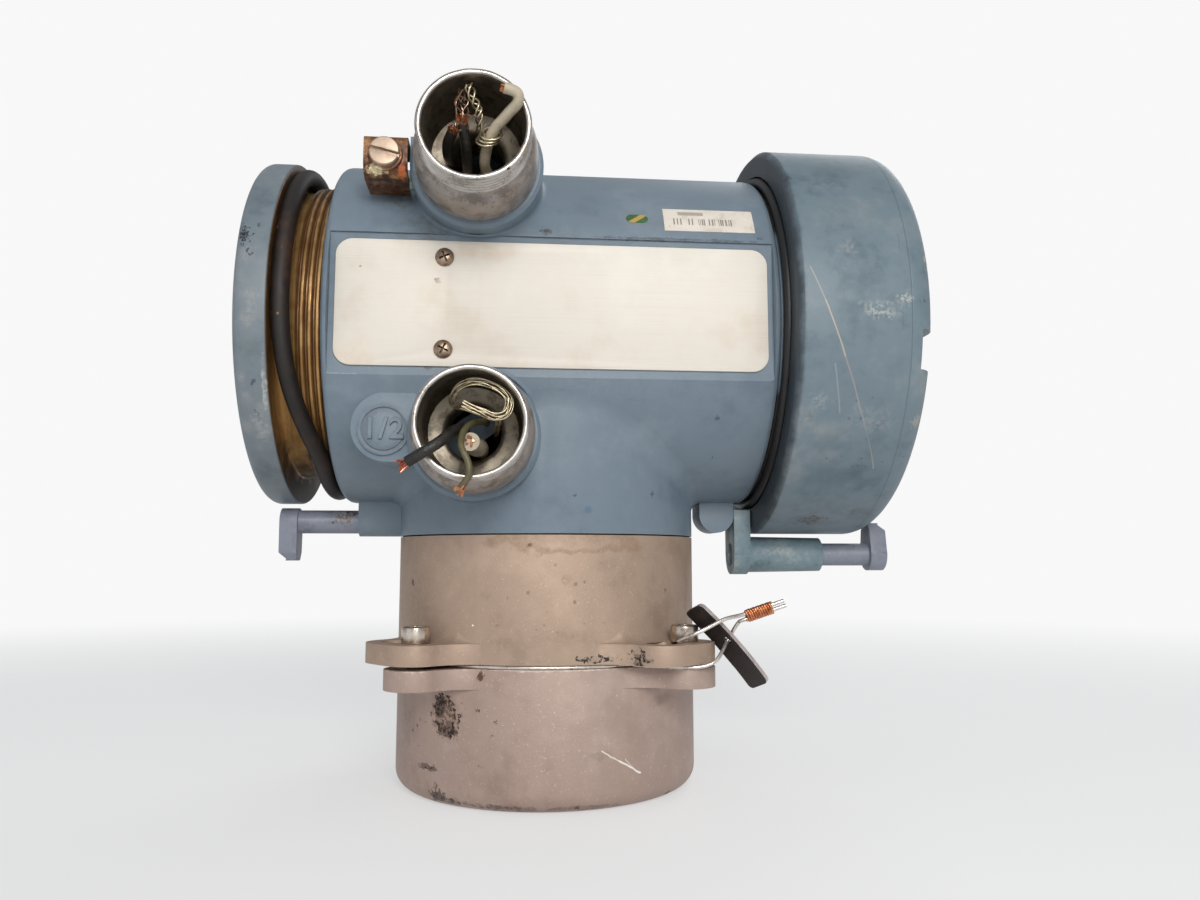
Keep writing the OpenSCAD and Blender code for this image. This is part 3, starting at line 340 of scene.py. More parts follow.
def rounded(solid: bmesh.types.BMesh, edges: Sequence[bmesh.types.BMEdge], width: float, steps: int,
            slide: bool = True) -> None:
    """Rounds edges of a solid by a width in millimetres."""
    bmesh.ops.bevel(solid, geom=edges, offset=width * MM, offset_type="OFFSET", segments=steps, profile=0.5,
                    affect="EDGES", clamp_overlap=True, loop_slide=slide)


def softened(node: str, width: float, segments: int = 2, angle: float = 32.0) -> Piece:
    """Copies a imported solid's mesh with its sharp edges rounded, as a casting's are.

    Args:
        node: the solid's name.
        width: size of the rounding.
        segments: steps of the rounding.
        angle: edges sharper than this are rounded, in degrees.

    Returns:
        The piece, which stands for the solid.
    """
    solid = bmesh.new()
    solid.from_mesh(bpy.data.objects[node].data)
    bmesh.ops.remove_doubles(solid, verts=solid.verts, dist=2e-6)
    bmesh.ops.dissolve_limit(solid, angle_limit=math.radians(0.5), verts=solid.verts, edges=solid.edges)
    rounded(solid, [e for e in solid.edges if len(e.link_faces) == 2 and e.calc_face_angle(0.0) > math.radians(angle)],
            width, segments)
    bmesh.ops.triangulate(solid, faces=[f for f in solid.faces if len(f.verts) > 4])
    made = solid_piece(node + "_finished", solid, 34)
    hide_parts(node)
    return made


def prism(name: str, outline: Sequence[Pair], origin: Point, across: Point, up: Point, depth: float,
          round_by: float = 0.0) -> Piece:
    """Pushes an outline into a solid, and rounds its edges.

    Args:
        name: the piece's name.
        outline: (across, up) pairs, counter-clockwise.
        origin: where the outline's zero lies.
        across: direction of the first coordinate.
        up: direction of the second coordinate.
        depth: thickness, along across x up.
        round_by: edge rounding.

    Returns:
        The piece.
    """
    a, u = Vector(across).normalized(), Vector(up).normalized()
    solid = bmesh.new()
    low, high = ([solid.verts.new((Vector(origin) + a * x + u * y + a.cross(u) * far) * MM) for x, y in outline]
                 for far in (0.0, depth))
    solid.faces.new(low[::-1])
    solid.faces.new(high)
    n = len(outline)
    for i in range(n):
        solid.faces.new((low[i], low[i + 1 - n], high[i + 1 - n], high[i]))
    if round_by:
        rounded(solid, [e for e in solid.edges if e.calc_face_angle(0.0) > 0.3], round_by, 2, False)
    bmesh.ops.recalc_face_normals(solid, faces=solid.faces)
    return solid_piece(name, solid, 40)


def as_mesh(piece: Piece) -> bpy.types.Mesh:
    """Gives a new mesh of a piece as it now looks."""
    bpy.context.view_layer.update()
    return bpy.data.meshes.new_from_object(piece.evaluated_get(bpy.context.evaluated_depsgraph_get()))


def cut_away(piece: Piece, cutter: Piece) -> None:
    """Cuts one piece out of another and removes the cutter.

    Args:
        piece: what is cut.
        cutter: what is taken away.
    """
    step = piece.modifiers.new("cut", "BOOLEAN")
    step.operation, step.solver, step.object = "DIFFERENCE", "EXACT", cutter
    cut = as_mesh(piece)
    piece.modifiers.clear()
    cut.name, piece.data = piece.name, cut
    bpy.data.objects.remove(cutter)
    shaded(cut, 35)


def joined(name: str, pieces: Sequence[Piece]) -> Piece:
    """Joins pieces into one.

    Args:
        name: the joined piece's name.
        pieces: the pieces, which are used up.

    Returns:
        The joined piece.
    """
    solid = bmesh.new()
    for piece in pieces:
        solid.from_mesh(piece.data)
        bpy.data.objects.remove(piece)
    return solid_piece(name, solid, 38)


# ---------------------------------------------------------------- shader making


def srgb(tone: Tone) -> Tone:
    """Turns a screen colour of 0 to 255 into a linear one."""
    shares = [part / 255 for part in tone]
    return tuple(c / 12.92 if c <= 0.04045 else ((c + 0.055) / 1.055) ** 2.4 for c in shares)


class Net:
    """Adds nodes to one tree and links them."""

    def __init__(self, tree: Tree) -> None:
        """Starts with an empty tree."""
        self.tree = tree
        tree.nodes.clear()

    def add(self, kind: str, settings: dict[str, Any] | None = None, **inputs: Any) -> bpy.types.Node:
        """Adds a node.

        Args:
            kind: the node's type.
            settings: its properties.
            inputs: values or sockets for its inputs, with _ for a space in their names.

        Returns:
            The node.
        """
        node = self.tree.nodes.new(kind)
        for key, value in (settings or {}).items():
            setattr(node, key, value)
        for key, value in inputs.items():
            self.feed(node.inputs[key.replace("_", " ")], value)
        return node

    def feed(self, socket: Socket, value: Any) -> None:
        """Gives an input a value or a link. A colour of three parts is a screen colour of 0 to 255."""
        if isinstance(value, Socket):
            self.tree.links.new(value, socket)
        elif socket.type == "RGBA" and len(value) == 3:
            socket.default_value = (*srgb(value), 1.0)
        else:
            socket.default_value = value

    def math(self, operation: str, a: Any, b: Any = 0.0, clamp: bool = False) -> Socket:
        """Adds a sum of numbers and gives its result."""
        node = self.add("ShaderNodeMath", {"operation": operation, "use_clamp": clamp})
        for socket, value in zip(node.inputs, (a, b, 0.0)):
            self.feed(socket, value)
        return node.outputs[0]

    def times(self, a: Any, b: Any) -> Socket:
        """Gives a times b."""
        return self.math("MULTIPLY", a, b)

    def plus(self, a: Any, b: Any, clamp: bool = False) -> Socket:
        """Gives a plus b."""
        return self.math("ADD", a, b, clamp)

    def less(self, a: Any, b: Any, clamp: bool = False) -> Socket:
        """Gives a less b."""
        return self.math("SUBTRACT", a, b, clamp)

    def greater(self, a: Any, b: Any) -> Socket:
        """Gives the greater of a and b."""
        return self.math("MAXIMUM", a, b)

    def length(self, a: Any, b: Any) -> Socket:
        """Gives the length of the slant whose two legs are a and b."""
        return self.math("SQRT", self.plus(self.times(a, a), self.times(b, b)))

    def within(self, value: Any, low: float, high: float) -> Socket:
        """Gives 1 where a value lies between two others, else 0."""
        return self.times(self.math("GREATER_THAN", value, low), self.math("LESS_THAN", value, high))

    def vector(self, operation: str, a: Any, b: Any = (0.0, 0.0, 0.0)) -> Socket:
        """Adds a sum of vectors and gives its result, a vector or a number."""
        node = self.add("ShaderNodeVectorMath", {"operation": operation})
        self.feed(node.inputs[0], a)
        self.feed(node.inputs["Scale" if operation == "SCALE" else 1], b)
        return node.outputs[1 if operation in ("LENGTH", "DISTANCE", "DOT_PRODUCT") else 0]

    def place(self) -> Socket:
        """Gives the place in the shared frame, in millimetres."""
        return self.vector("SCALE", self.add("ShaderNodeTexCoord").outputs["Object"], TO_MM)

    def split(self, where: Any) -> Any:
        """Gives the three coordinates of a place."""
        return self.add("ShaderNodeSeparateXYZ", Vector=where).outputs

    def noise(self, where: Any, scale: Any, detail: float = 3.0, rough: float = 0.55) -> Socket:
        """Adds a noise and gives its value."""
        return self.add("ShaderNodeTexNoise", Vector=where, Scale=scale, Detail=detail, Roughness=rough).outputs[0]

    def rise(self, value: Any, low: Any, high: Any) -> Socket:
        """Adds a smooth step from 0 at low to 1 at high."""
        node = self.add("ShaderNodeMapRange", {"interpolation_type": "SMOOTHSTEP"})
        for socket, given in zip(node.inputs, (value, low, high, 0.0, 1.0)):
            self.feed(socket, given)
        return node.outputs[0]

    def mix(self, share: Any, a: Any, b: Any) -> Socket:
        """Adds a mix of two colours and gives its result."""
        node = self.add("ShaderNodeMix", {"data_type": "RGBA"})
        for number, value in ((0, share), (6, a), (7, b)):
            self.feed(node.inputs[number], value)
        return node.outputs[2]

    def blend(self, share: Any, a: Any, b: Any) -> Socket:
        """Adds a mix of two numbers and gives its result."""
        node = self.add("ShaderNodeMix", {"data_type": "FLOAT"})
        for number, value in ((0, share), (2, a), (3, b)):
            self.feed(node.inputs[number], value)
        return node.outputs[0]

    def either(self, share: Any, a: bpy.types.Node, b: bpy.types.Node) -> Socket:
        """Adds a mix of two shaders and gives its result."""
        node = self.add("ShaderNodeMixShader")
        for number, value in enumerate((share, a.outputs[0], b.outputs[0])):
            self.feed(node.inputs[number], value)
        return node.outputs[0]

    def effect(self, name: str, **inputs: Any) -> Any:
        """Adds a shared effect and gives its results."""
        return self.add("ShaderNodeGroup", {"node_tree": EFFECTS.group(name)}, **inputs).outputs


def new_material(name: str) -> tuple[bpy.types.Material, Net]:
    """Makes an empty material and gives it with its net."""
    material = bpy.data.materials.new(name)
    material.use_nodes = True
    return material, Net(material.node_tree)


class Effects:
    """Shader effects that several finishes share. Each is a node group, built when it is first used."""

    def __init__(self) -> None:
        """Starts with no group built."""
        self.built: dict[str, Tree] = {}

    def group(self, name: str) -> Tree:
        """Gives an effect's group.

        Args:
            name: the name of the method that builds it.

        Returns:
            The group's tree.
        """
        if name not in self.built:
            self.built[name] = getattr(self, name)()
        return self.built[name]

    @staticmethod
    def start(name: str, **inputs: Any) -> tuple[Net, Any]:
        """Opens a new group.

        Args:
            name: the group's name.
            inputs: the first value of each input: a number, a vector of three, a colour of four, or None
                for a vector that is always linked.

        Returns:
            The net and the group's inputs.
        """
        net = Net(bpy.data.node_groups.new(name, "ShaderNodeTree"))
        for label, value in inputs.items():
            kind = "Float" if isinstance(value, float) else "Color" if value and len(value) == 4 else "Vector"
            made = net.tree.interface.new_socket(name=label, in_out="INPUT", socket_type="NodeSocket" + kind)
            if value is not None:
                made.default_value = value
        return net, net.add("NodeGroupInput").outputs

    @staticmethod
    def close(net: Net, **results: Socket) -> Tree:
        """Closes a group.

        Args:
            net: the group's net.
            results: its results by name, each a colour or a number.

        Returns:
            The group's tree.
        """
        for label, value in results.items():
            kind = "Color" if value.type == "RGBA" else "Float"
            net.tree.interface.new_socket(name=label, in_out="OUTPUT", socket_type="NodeSocket" + kind)
        net.add("NodeGroupOutput", **results)
        return net.tree

    def tone_drift(self) -> Tree:
        """Builds the slow change of tone of an aged surface."""
        net, given = self.start("Tone drift", Where=None, Scale=0.05, Reach=0.5, Tone=(0.5, 0.5, 0.5, 1),
                                Pale=(0.6, 0.6, 0.6, 1), Dark=(0.4, 0.4, 0.4, 1))
        wide = net.noise(given["Where"], given["Scale"], 4.0, 0.6)
        fine = net.noise(given["Where"], net.times(given["Scale"], 7.0), 3.0, 0.6)
        drift = net.plus(net.times(wide, 0.72), net.times(fine, 0.28))
        pale = net.times(net.rise(drift, 0.5, 0.68), given["Reach"])
        dark = net.times(net.rise(drift, 0.5, 0.34), given["Reach"])
        tone = net.mix(dark, net.mix(pale, given["Tone"], given["Pale"]), given["Dark"])
        return self.close(net, Tone=tone, Drift=drift)

    def patch(self) -> Tree:
        """Builds a ragged spot at one place, full or as a ring."""
        net, given = self.start("Ragged patch", Where=None, Centre=(0, 0, 0), Reach=(1, 1, 1), Ragged=0.4, Grain=0.4,
                                Hollow=0.0, Soft=0.4, Scuff=0.0)
        where = given["Where"]
        offset = net.vector("SUBTRACT", where, given["Centre"])
        far = net.vector("LENGTH", net.vector("DIVIDE", offset, given["Reach"]))
        wobble = net.less(net.noise(where, given["Grain"], 3.0, 0.55), 0.5)
        edge = net.plus(far, net.times(wobble, net.times(given["Ragged"], 4.0)))
        mask = net.rise(edge, 1.0, net.less(1.0, given["Soft"]))
        core = net.times(net.rise(edge, 0.75, 0.35), given["Hollow"])
        lows = net.less(1.0, net.rise(net.noise(where, 0.8, 3.0, 0.6), 0.45, 0.55))
        left = net.less(1.0, net.times(lows, given["Scuff"]))
        return self.close(net, Mask=net.times(net.less(mask, core, clamp=True), left))

    def scratch(self) -> Tree:
        """Builds a thin scratch between two points. Depth counts for a fifth, so that it holds on a round wall."""
        net, given = self.start("Scratch", Where=None, Start=(0, 0, 0), End=(1, 0, 0), Width=0.3, Waver=0.4,
                                Broken=0.5)
        where, start, flat = given["Where"], given["Start"], (1.0, 0.2, 1.0)
        wavy = net.add("ShaderNodeTexNoise", Vector=where, Scale=0.12, Detail=2.0, Roughness=0.5).outputs["Color"]
        shift = net.vector("SCALE", net.vector("SUBTRACT", wavy, (0.5, 0.5, 0.5)), net.times(given["Waver"], 6.0))
        spot = net.vector("SUBTRACT", net.vector("ADD", where, shift), start)
        run = net.vector("MULTIPLY", net.vector("SUBTRACT", given["End"], start), flat)
        to = net.vector("MULTIPLY", spot, flat)
        share = net.math("DIVIDE", net.vector("DOT_PRODUCT", to, run), net.vector("DOT_PRODUCT", run, run), True)
        far = net.vector("DISTANCE", to, net.vector("SCALE", run, share))
        line = net.rise(far, given["Width"], net.times(given["Width"], 0.35))
        least = net.times(given["Broken"], 0.55)
        broken = net.rise(net.noise(where, 0.9, 3.0, 0.7), least, net.plus(least, 0.12))
        return self.close(net, Mask=net.times(line, broken))

    def specks(self) -> Tree:
        """Builds small scattered specks."""
        net, given = self.start("Specks", Where=None, Scale=0.5, Amount=0.1)
        where, scale = given["Where"], given["Scale"]
        cells = net.add("ShaderNodeTexVoronoi", {"feature": "F1"}, Vector=where, Scale=scale, Randomness=1.0).outputs
        chance = net.add("ShaderNodeSeparateColor", Color=cells["Color"]).outputs
        pick = net.math("LESS_THAN", chance[0], given["Amount"])
        size = net.plus(net.times(chance[1], 0.2), 0.06)
        wobble = net.times(net.less(net.noise(where, net.times(scale, 6.0), 3.0, 0.8), 0.5), 0.6)
        spot = net.rise(net.plus(cells["Distance"], wobble), size, net.times(size, 0.6))
        return self.close(net, Mask=net.times(spot, pick))

    def cast_grain(self) -> Tree:
        """Builds the fine height of a cast or sprayed skin."""
        net, given = self.start("Cast grain", Where=None, Scale=1.2, Coarse=0.3)
        fine = net.noise(given["Where"], given["Scale"], 4.0, 0.65)
        wide = net.noise(given["Where"], net.times(given["Scale"], 0.12), 3.0, 0.5)
        height = net.plus(fine, net.times(wide, given["Coarse"]))
        return self.close(net, Height=height, Sparkle=net.rise(fine, 0.6, 0.75))

    def turning_marks(self) -> Tree:
        """Builds the fine rings that a lathe leaves along an axis."""
        net, given = self.start("Turning marks", Along=0.0, Where=None, Pitch=0.2)
        waver = net.times(net.noise(given["Where"], 0.3, 2.0, 0.5), 8.0)
        turns = net.math("DIVIDE", given["Along"], given["Pitch"])
        return self.close(net, Height=net.math("SINE", net.plus(turns, waver)))

    def barrel_polar(self) -> Tree:
        """Builds the distance from a lengthwise axis at a given height."""
        net, given = self.start("Round the barrel", Where=None, Height=149.0)
        along, deep, up = net.split(given["Where"])
        return self.close(net, Radius=net.length(deep, net.less(up, given["Height"])), Along=along)

    def band(self) -> Tree:
        """Builds a band of a value, ragged at its edges."""
        net, given = self.start("Band", Value=0.0, Where=None, Centre=0.0, Half=1.0, Soft=0.5, Ragged=0.5, Grain=0.5)
        off = net.math("ABSOLUTE", net.less(given["Value"], given["Centre"]))
        wobble = net.less(net.noise(given["Where"], given["Grain"], 4.0, 0.65), 0.5)
        off = net.plus(off, net.times(wobble, net.times(given["Ragged"], 2.0)))
        return self.close(net, Mask=net.rise(off, net.plus(given["Half"], given["Soft"]), given["Half"]))


EFFECTS = Effects()


@dataclass
class Layers:
    """What a material has so far: its place in millimetres, colour, roughness, metallic share and height."""

    net: Net
    where: Any
    tone: Any
    rough: Any = None
    metal: Any = None
    height: Any = None

    def lay(self, mask: Any, share: float | None, tone: Any) -> None:
        """Lays a tone over the colour, by a mask and a share of it."""
        self.tone = self.net.mix(mask if share is None else self.net.times(mask, share), self.tone, tone)


@dataclass(frozen=True)
class Patch:
    """A spot of dirt, rust, rubbed paint or painted shade at one place."""

    centre: Point
    reach: Point
    tone: Tone
    strength: float = 1.0
    ragged: float = 0.4
    grain: float = 0.4
    hollow: float = 0.0
    soft: float = 0.5
    scuff: float = 0.5
    fleck: float = 0.0
    rough: float | None = None

    def add_to(self, s: Layers, metallic: bool) -> None:
        """Lays the spot over what a material has so far.

        Args:
            s: what the material has so far.
            metallic: whether it is metallic, so that the spot hides its metal.
        """
        net = s.net
        mask = net.effect("patch", Where=s.where, Centre=self.centre, Reach=self.reach, Ragged=self.ragged,
                          Grain=self.grain, Hollow=self.hollow, Soft=self.soft, Scuff=self.scuff)[0]
        mask = net.times(mask, self.strength)
        if self.fleck:
            mask = net.times(mask, net.effect("specks", Where=s.where, Scale=self.fleck, Amount=FLECK_AMOUNT)[0])
        s.lay(mask, None, self.tone)
        if self.rough is not None:
            s.rough = net.blend(mask, s.rough, self.rough)
        if metallic:
            s.metal = net.times(s.metal, net.less(1.0, mask))


@dataclass(frozen=True)
class Scratch:
    """A thin scratch from one point to another."""

    start: Point
    end: Point
    tone: Tone
    width: float
    waver: float
    broken: float
    strength: float

    def add_to(self, s: Layers) -> None:
        """Cuts the scratch into what a material has so far."""
        mask = s.net.effect("scratch", Where=s.where, Start=self.start, End=self.end, Width=self.width,
                            Waver=self.waver, Broken=self.broken)[0]
        s.lay(mask, self.strength, self.tone)
        s.height = s.net.less(s.height, s.net.times(mask, SCRATCH_DEPTH))


@dataclass(frozen=True)
class Finish:
    """A surface finish: its tones, its skin, its marks of use, and painted shade."""

    name: str
    tone: Tone
    pale: Tone
    dark: Tone
    drift: Pair
    metallic: float = 0.0
    rough: float = 0.5
    swing: float = 0.12
    skin: Pair = (1.2, 0.02)
    coarse: float = 0.3
    sparkle: tuple[float, Tone] | None = None
    specks: tuple[float, float, Tone] | None = None
    patches: tuple[Patch, ...] = ()
    scratches: tuple[Scratch, ...] = ()

    def extra(self, net: Net, s: Layers) -> None:
        """Adds what only this finish has. The plain finish adds nothing.

        Args:
            net: the material's net.
            s: what the material has so far.
        """

    def build(self) -> bpy.types.Material:
        """Builds the material, once.

        Returns:
            The material.
        """
        known = bpy.data.materials.get(self.name)
        if known:
            return known
        material, net = new_material(self.name)
        where = net.place()
        drift = net.effect("tone_drift", Where=where, Scale=self.drift[0], Reach=self.drift[1], Tone=self.tone,
                           Pale=self.pale, Dark=self.dark)
        skin = net.effect("cast_grain", Where=where, Scale=self.skin[0], Coarse=self.coarse)
        rough = net.plus(net.times(net.less(drift["Drift"], 0.5), self.swing * 2), self.rough, clamp=True)
        s = Layers(net, where, drift["Tone"], rough, self.metallic, net.times(skin["Height"], self.skin[1]))
        if self.sparkle:
            s.lay(skin["Sparkle"], *self.sparkle)
        if self.specks:
            scale, amount, tone = self.specks
            s.lay(net.effect("specks", Where=where, Scale=scale, Amount=amount)[0], None, tone)
        self.extra(net, s)
        for patch in self.patches:
            patch.add_to(s, self.metallic > 0)
        for scratch in self.scratches:
            scratch.add_to(s)
        bump = net.add("ShaderNodeBump", Height=s.height, Distance=MM, Strength=1.0)
        shader = net.add("ShaderNodeBsdfPrincipled", Base_Color=s.tone, Roughness=s.rough, Metallic=s.metal,
                         Normal=bump.outputs[0])
        net.add("ShaderNodeOutputMaterial", Surface=shader.outputs[0])
        material.diffuse_color = (*srgb(self.tone), 1.0)
        return material


@dataclass(frozen=True)
class HousingFinish(Finish):
    """Housing paint outside, with painted shade inside the barrel and on the walls of its holes."""

    inside_r: float = 52.0
    wall_r: float = 55.8
    flat_y: float = -50.0

    def extra(self, net: Net, s: Layers) -> None:
        """Darkens the inside and the hole walls with painted shade."""
        radius = net.effect("barrel_polar", Where=s.where)["Radius"]
        behind = net.rise(net.split(s.where)[1], self.flat_y, self.flat_y + 2.0)
        wall = net.times(net.rise(radius, self.wall_r, self.wall_r - 0.5), behind)
        # The near-black brown is painted shade, for the inside seen through the fittings and the holes.
        s.lay(net.greater(net.rise(radius, self.inside_r, self.inside_r - 0.5), wall), None, (46, 40, 34))


@dataclass(frozen=True)
class ZincFinish(Finish):
    """Galvanised fitting: bright rim, ringed thread with painted shade in its roots, dull collar and dark bore."""

    face_y: float = -86.4
    axis_x: float = -23.6
    axis_z: float = 188.6
    crest_r: float = 15.7

    def extra(self, net: Net, s: Layers) -> None:
        """Dulls the collar and the bore, paints shade into the thread's roots, and keeps the rim bright."""
        x, y, z = net.split(s.where)
        radius = net.length(net.less(x, self.axis_x), net.less(z, self.axis_z))
        deep = net.less(y, self.face_y)
        bore = net.times(net.rise(radius, 14.35, 14.05), net.rise(deep, 0.2, 2.0))
        collar = net.times(net.rise(deep, 8.6, 11.0), net.rise(radius, 14.4, 14.8))
        # Painted shade in the thread's roots.
        root_shade = net.times(net.rise(radius, self.crest_r - 0.12, self.crest_r - 0.75), net.rise(radius, 14.4, 14.6))
        root_shade = net.times(root_shade, net.times(net.rise(deep, 0.7, 1.2), net.rise(deep, 11.0, 10.4)))
        stain = net.rise(net.noise(s.where, 0.25, 4.0, 0.7), 0.46, 0.62)
        s.lay(root_shade, 0.7, (70, 62, 56))
        s.lay(collar, 0.75, net.mix(stain, (150, 140, 134), (104, 94, 86)))
        s.lay(bore, 0.85, net.mix(stain, (132, 122, 104), (84, 74, 58)))
        s.rough = net.blend(bore, net.blend(collar, s.rough, 0.5), 0.45)
        s.metal = net.blend(collar, s.metal, 0.6)
        marks = net.effect("turning_marks", Along=y, Where=s.where, Pitch=0.12)[0]
        s.height = net.plus(s.height, net.times(marks, 0.006))


@dataclass(frozen=True)
class DisplayCoverFinish(Finish):
    """Display cover paint: painted shade on the rim by the barrel, and the mould's fine line near the front edge."""

    rim_x: float = 70.0
    line_x: float = 104.4

    def extra(self, net: Net, s: Layers) -> None:
        """Lays the painted shade and draws the line."""
        given = {"Value": net.split(s.where)[0], "Where": s.where}
        rim_shade = net.effect("band", **given, Centre=self.rim_x, Half=0.5, Soft=2.6, Ragged=1.6, Grain=0.12)[0]
        line = net.effect("band", **given, Centre=self.line_x, Half=0.08, Soft=0.22, Ragged=0.12, Grain=0.5)[0]
        # The dark band on the rim by the barrel is painted shade.
        s.lay(rim_shade, 0.85, (34, 40, 46))
        s.lay(line, 0.4, (66, 82, 92))
        s.height = net.less(s.height, net.times(line, 0.06))


@dataclass(frozen=True)
class CoverFinish(Finish):
    """Wiring cover: painted flange, golden chromate on all that lies behind it."""

    flange_x: float = -83.1
    axis_z: float = 149.0
    crest_r: float = 50.0

    def extra(self, net: Net, s: Layers) -> None:
        """Puts the gold behind the flange, with grease, painted shade in the thread's roots and on the flange's back
        face, and grime with painted shade low down and at the top.
        """
        polar = net.effect("barrel_polar", Where=s.where, Height=self.axis_z)
        along, radius, up = polar["Along"], polar["Radius"], net.split(s.where)[2]
        wide = net.rise(net.noise(s.where, 0.09, 4.0, 0.6), 0.34, 0.66)
        gold = Layers(net, s.where, net.mix(wide, (136, 98, 56), (180, 142, 92)))
        gold.lay(net.rise(net.math("ABSOLUTE", net.less(up, 118.0)), 26.0, 6.0), 0.5, (188, 144, 84))
        streaks = net.noise(net.vector("MULTIPLY", s.where, (2.4, 0.12, 0.12)), 1.0, 4.0, 0.6)
        gold.lay(net.rise(streaks, 0.5, 0.66), 0.4, (84, 52, 28))
        # Painted shade in the thread's roots.
        root_shade = net.times(net.rise(radius, self.crest_r - 0.1, self.crest_r - 0.9), net.rise(along, -77.2, -76.8))
        gold.lay(root_shade, 0.7, (78, 50, 30))
        # Painted shade on the flange's back face, in the gap by the barrel.
        gold.lay(net.rise(radius, 50.0, 52.0), 0.7, (58, 36, 22))
        # Dark brown low down and, more weakly, at the top: partly grime, partly painted shade.
        blot = net.plus(up, net.times(net.less(net.noise(s.where, 0.16, 4.0, 0.65), 0.5), 34.0))
        grime_and_shade = net.greater(net.rise(blot, 112.0, 97.0), net.times(net.rise(blot, 178.0, 196.0), 0.75))
        gold.lay(grime_and_shade, 0.92, (27, 19, 14))
        behind = net.rise(along, self.flange_x - 0.5, self.flange_x)
        s.lay(behind, None, gold.tone)
        s.rough = net.blend(behind, s.rough, net.blend(grime_and_shade, 0.34, 0.6))
        s.metal = net.times(behind, net.blend(grime_and_shade, 0.5, 0.1))


@dataclass(frozen=True)
class PlateFinish(Finish):
    """Bare nameplate with fine brushing along its length."""

    def extra(self, net: Net, s: Layers) -> None:
        """Draws the brush lines."""
        lines = net.noise(net.vector("MULTIPLY", s.where, (0.02, 1.0, 3.0)), 1.4, 4.0, 0.7)
        s.lay(net.rise(lines, 0.5, 0.75), 0.25, (226, 221, 212))
        s.lay(net.rise(lines, 0.46, 0.25), 0.22, (172, 162, 148))
        s.rough = net.plus(s.rough, net.times(net.less(lines, 0.5), 0.25), clamp=True)
        s.height = net.times(lines, 0.012)


@dataclass(frozen=True)
class LabelFinish(Finish):
    """Stock label: a blank paper strip with a row of plain bars and a plain block."""

    def extra(self, net: Net, s: Layers) -> None:
        """Draws the bars along the barrel."""
        along, _, up = net.split(s.where)
        row = net.add("ShaderNodeCombineXYZ", X=along, Y=0.0, Z=0.0).outputs[0]
        bars = net.rise(net.noise(row, 1.9, 0.0, 0.5), 0.5, 0.54)
        bars = net.times(bars, net.times(net.within(along, 36.2, 55.4), net.within(up, 175.4, 177.9)))
        block = net.times(net.within(along, 38.0, 46.0), net.within(up, 179.2, 180.6))
        s.lay(net.greater(bars, net.times(block, 0.7)), 0.75, (96, 84, 78))


@dataclass(frozen=True)
class StickerFinish(Finish):
    """Oval inspection sticker: green field with a golden slanted flash."""

    def extra(self, net: Net, s: Layers) -> None:
        """Draws the golden flash."""
        x, _, z = net.split(s.where)
        slant = net.plus(net.times(x, 0.8), net.times(z, -1.1))
        flash = net.effect("band", Value=slant, Where=s.where, Centre=-174.8, Half=0.7, Soft=0.5, Ragged=0.5,
                           Grain=0.8)[0]
        s.lay(flash, None, (176, 150, 74))


@dataclass(frozen=True)
class TarnishFinish(Finish):
    """Tarnished brass saddle: pale rubbed places over brown and dark tarnish."""

    def extra(self, net: Net, s: Layers) -> None:
        """Rubs the tarnish through in places."""
        s.lay(net.rise(net.noise(s.where, 0.3, 4.0, 0.6), 0.54, 0.66), 0.5, (176, 128, 82))
        s.lay(net.rise(net.noise(s.where, 0.45, 5.0, 0.7), 0.52, 0.62), 0.85, (44, 26, 17))


def paint(piece: Piece, material: bpy.types.Material) -> None:
    """Gives all of a piece one material."""
    for n in range(len(piece.data.materials)):
        piece.data.materials[n] = material
    if not piece.data.materials:
        piece.data.materials.append(material)


def dress(piece: Piece, finish: Finish, body: Body | None = Body.TRANSMITTER,
          node: str | None = None) -> Piece:
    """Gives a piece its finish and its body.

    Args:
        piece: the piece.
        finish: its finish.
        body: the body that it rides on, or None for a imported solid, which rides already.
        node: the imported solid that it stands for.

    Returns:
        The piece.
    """
    if node:
        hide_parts(node)
    paint(piece, finish.build())
    if body:
        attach(piece, body.value)
    LOG.info("%s: %s", piece.name, finish.name)
    return piece


def dress_packed(finish: Finish, slot: str, *nodes: str) -> None:
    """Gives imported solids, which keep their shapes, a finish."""
    for node in nodes:
        dress(bpy.data.objects[node], finish, None)


# ---------------------------------------------------------------- finishes


LOCK_LAVENDER = Finish(
    'lock_lavender_paint', (126, 131, 144), (148, 151, 161), (98, 103, 116), (0.12, 0.6), rough=0.46,
    skin=(2.0, 0.03), specks=(0.5, 0.04, (60, 56, 56)),
    patches=(
        Patch((-68.4, -4, 87), (3.4, 6, 3.0), (104, 76, 44), 0.9, 0.8, 0.9, scuff=0.9),
        Patch((-66.0, -4, 89), (2.4, 6, 2.0), (64, 44, 30), 0.9, 0.8, 0.9, scuff=0.8),
        Patch((-72.5, -4, 85), (5, 6, 3), (110, 84, 56), 0.9, 0.5, 0.5, scuff=0.0, fleck=0.9),
        Patch((-80.5, -4, 81.6), (3.5, 6, 1.4), (70, 60, 54), 0.5, 0.6, 0.6),
        Patch((-87, -4, 92), (4, 6, 2), (150, 150, 160), 0.5, 0.5, 0.6),
    ))
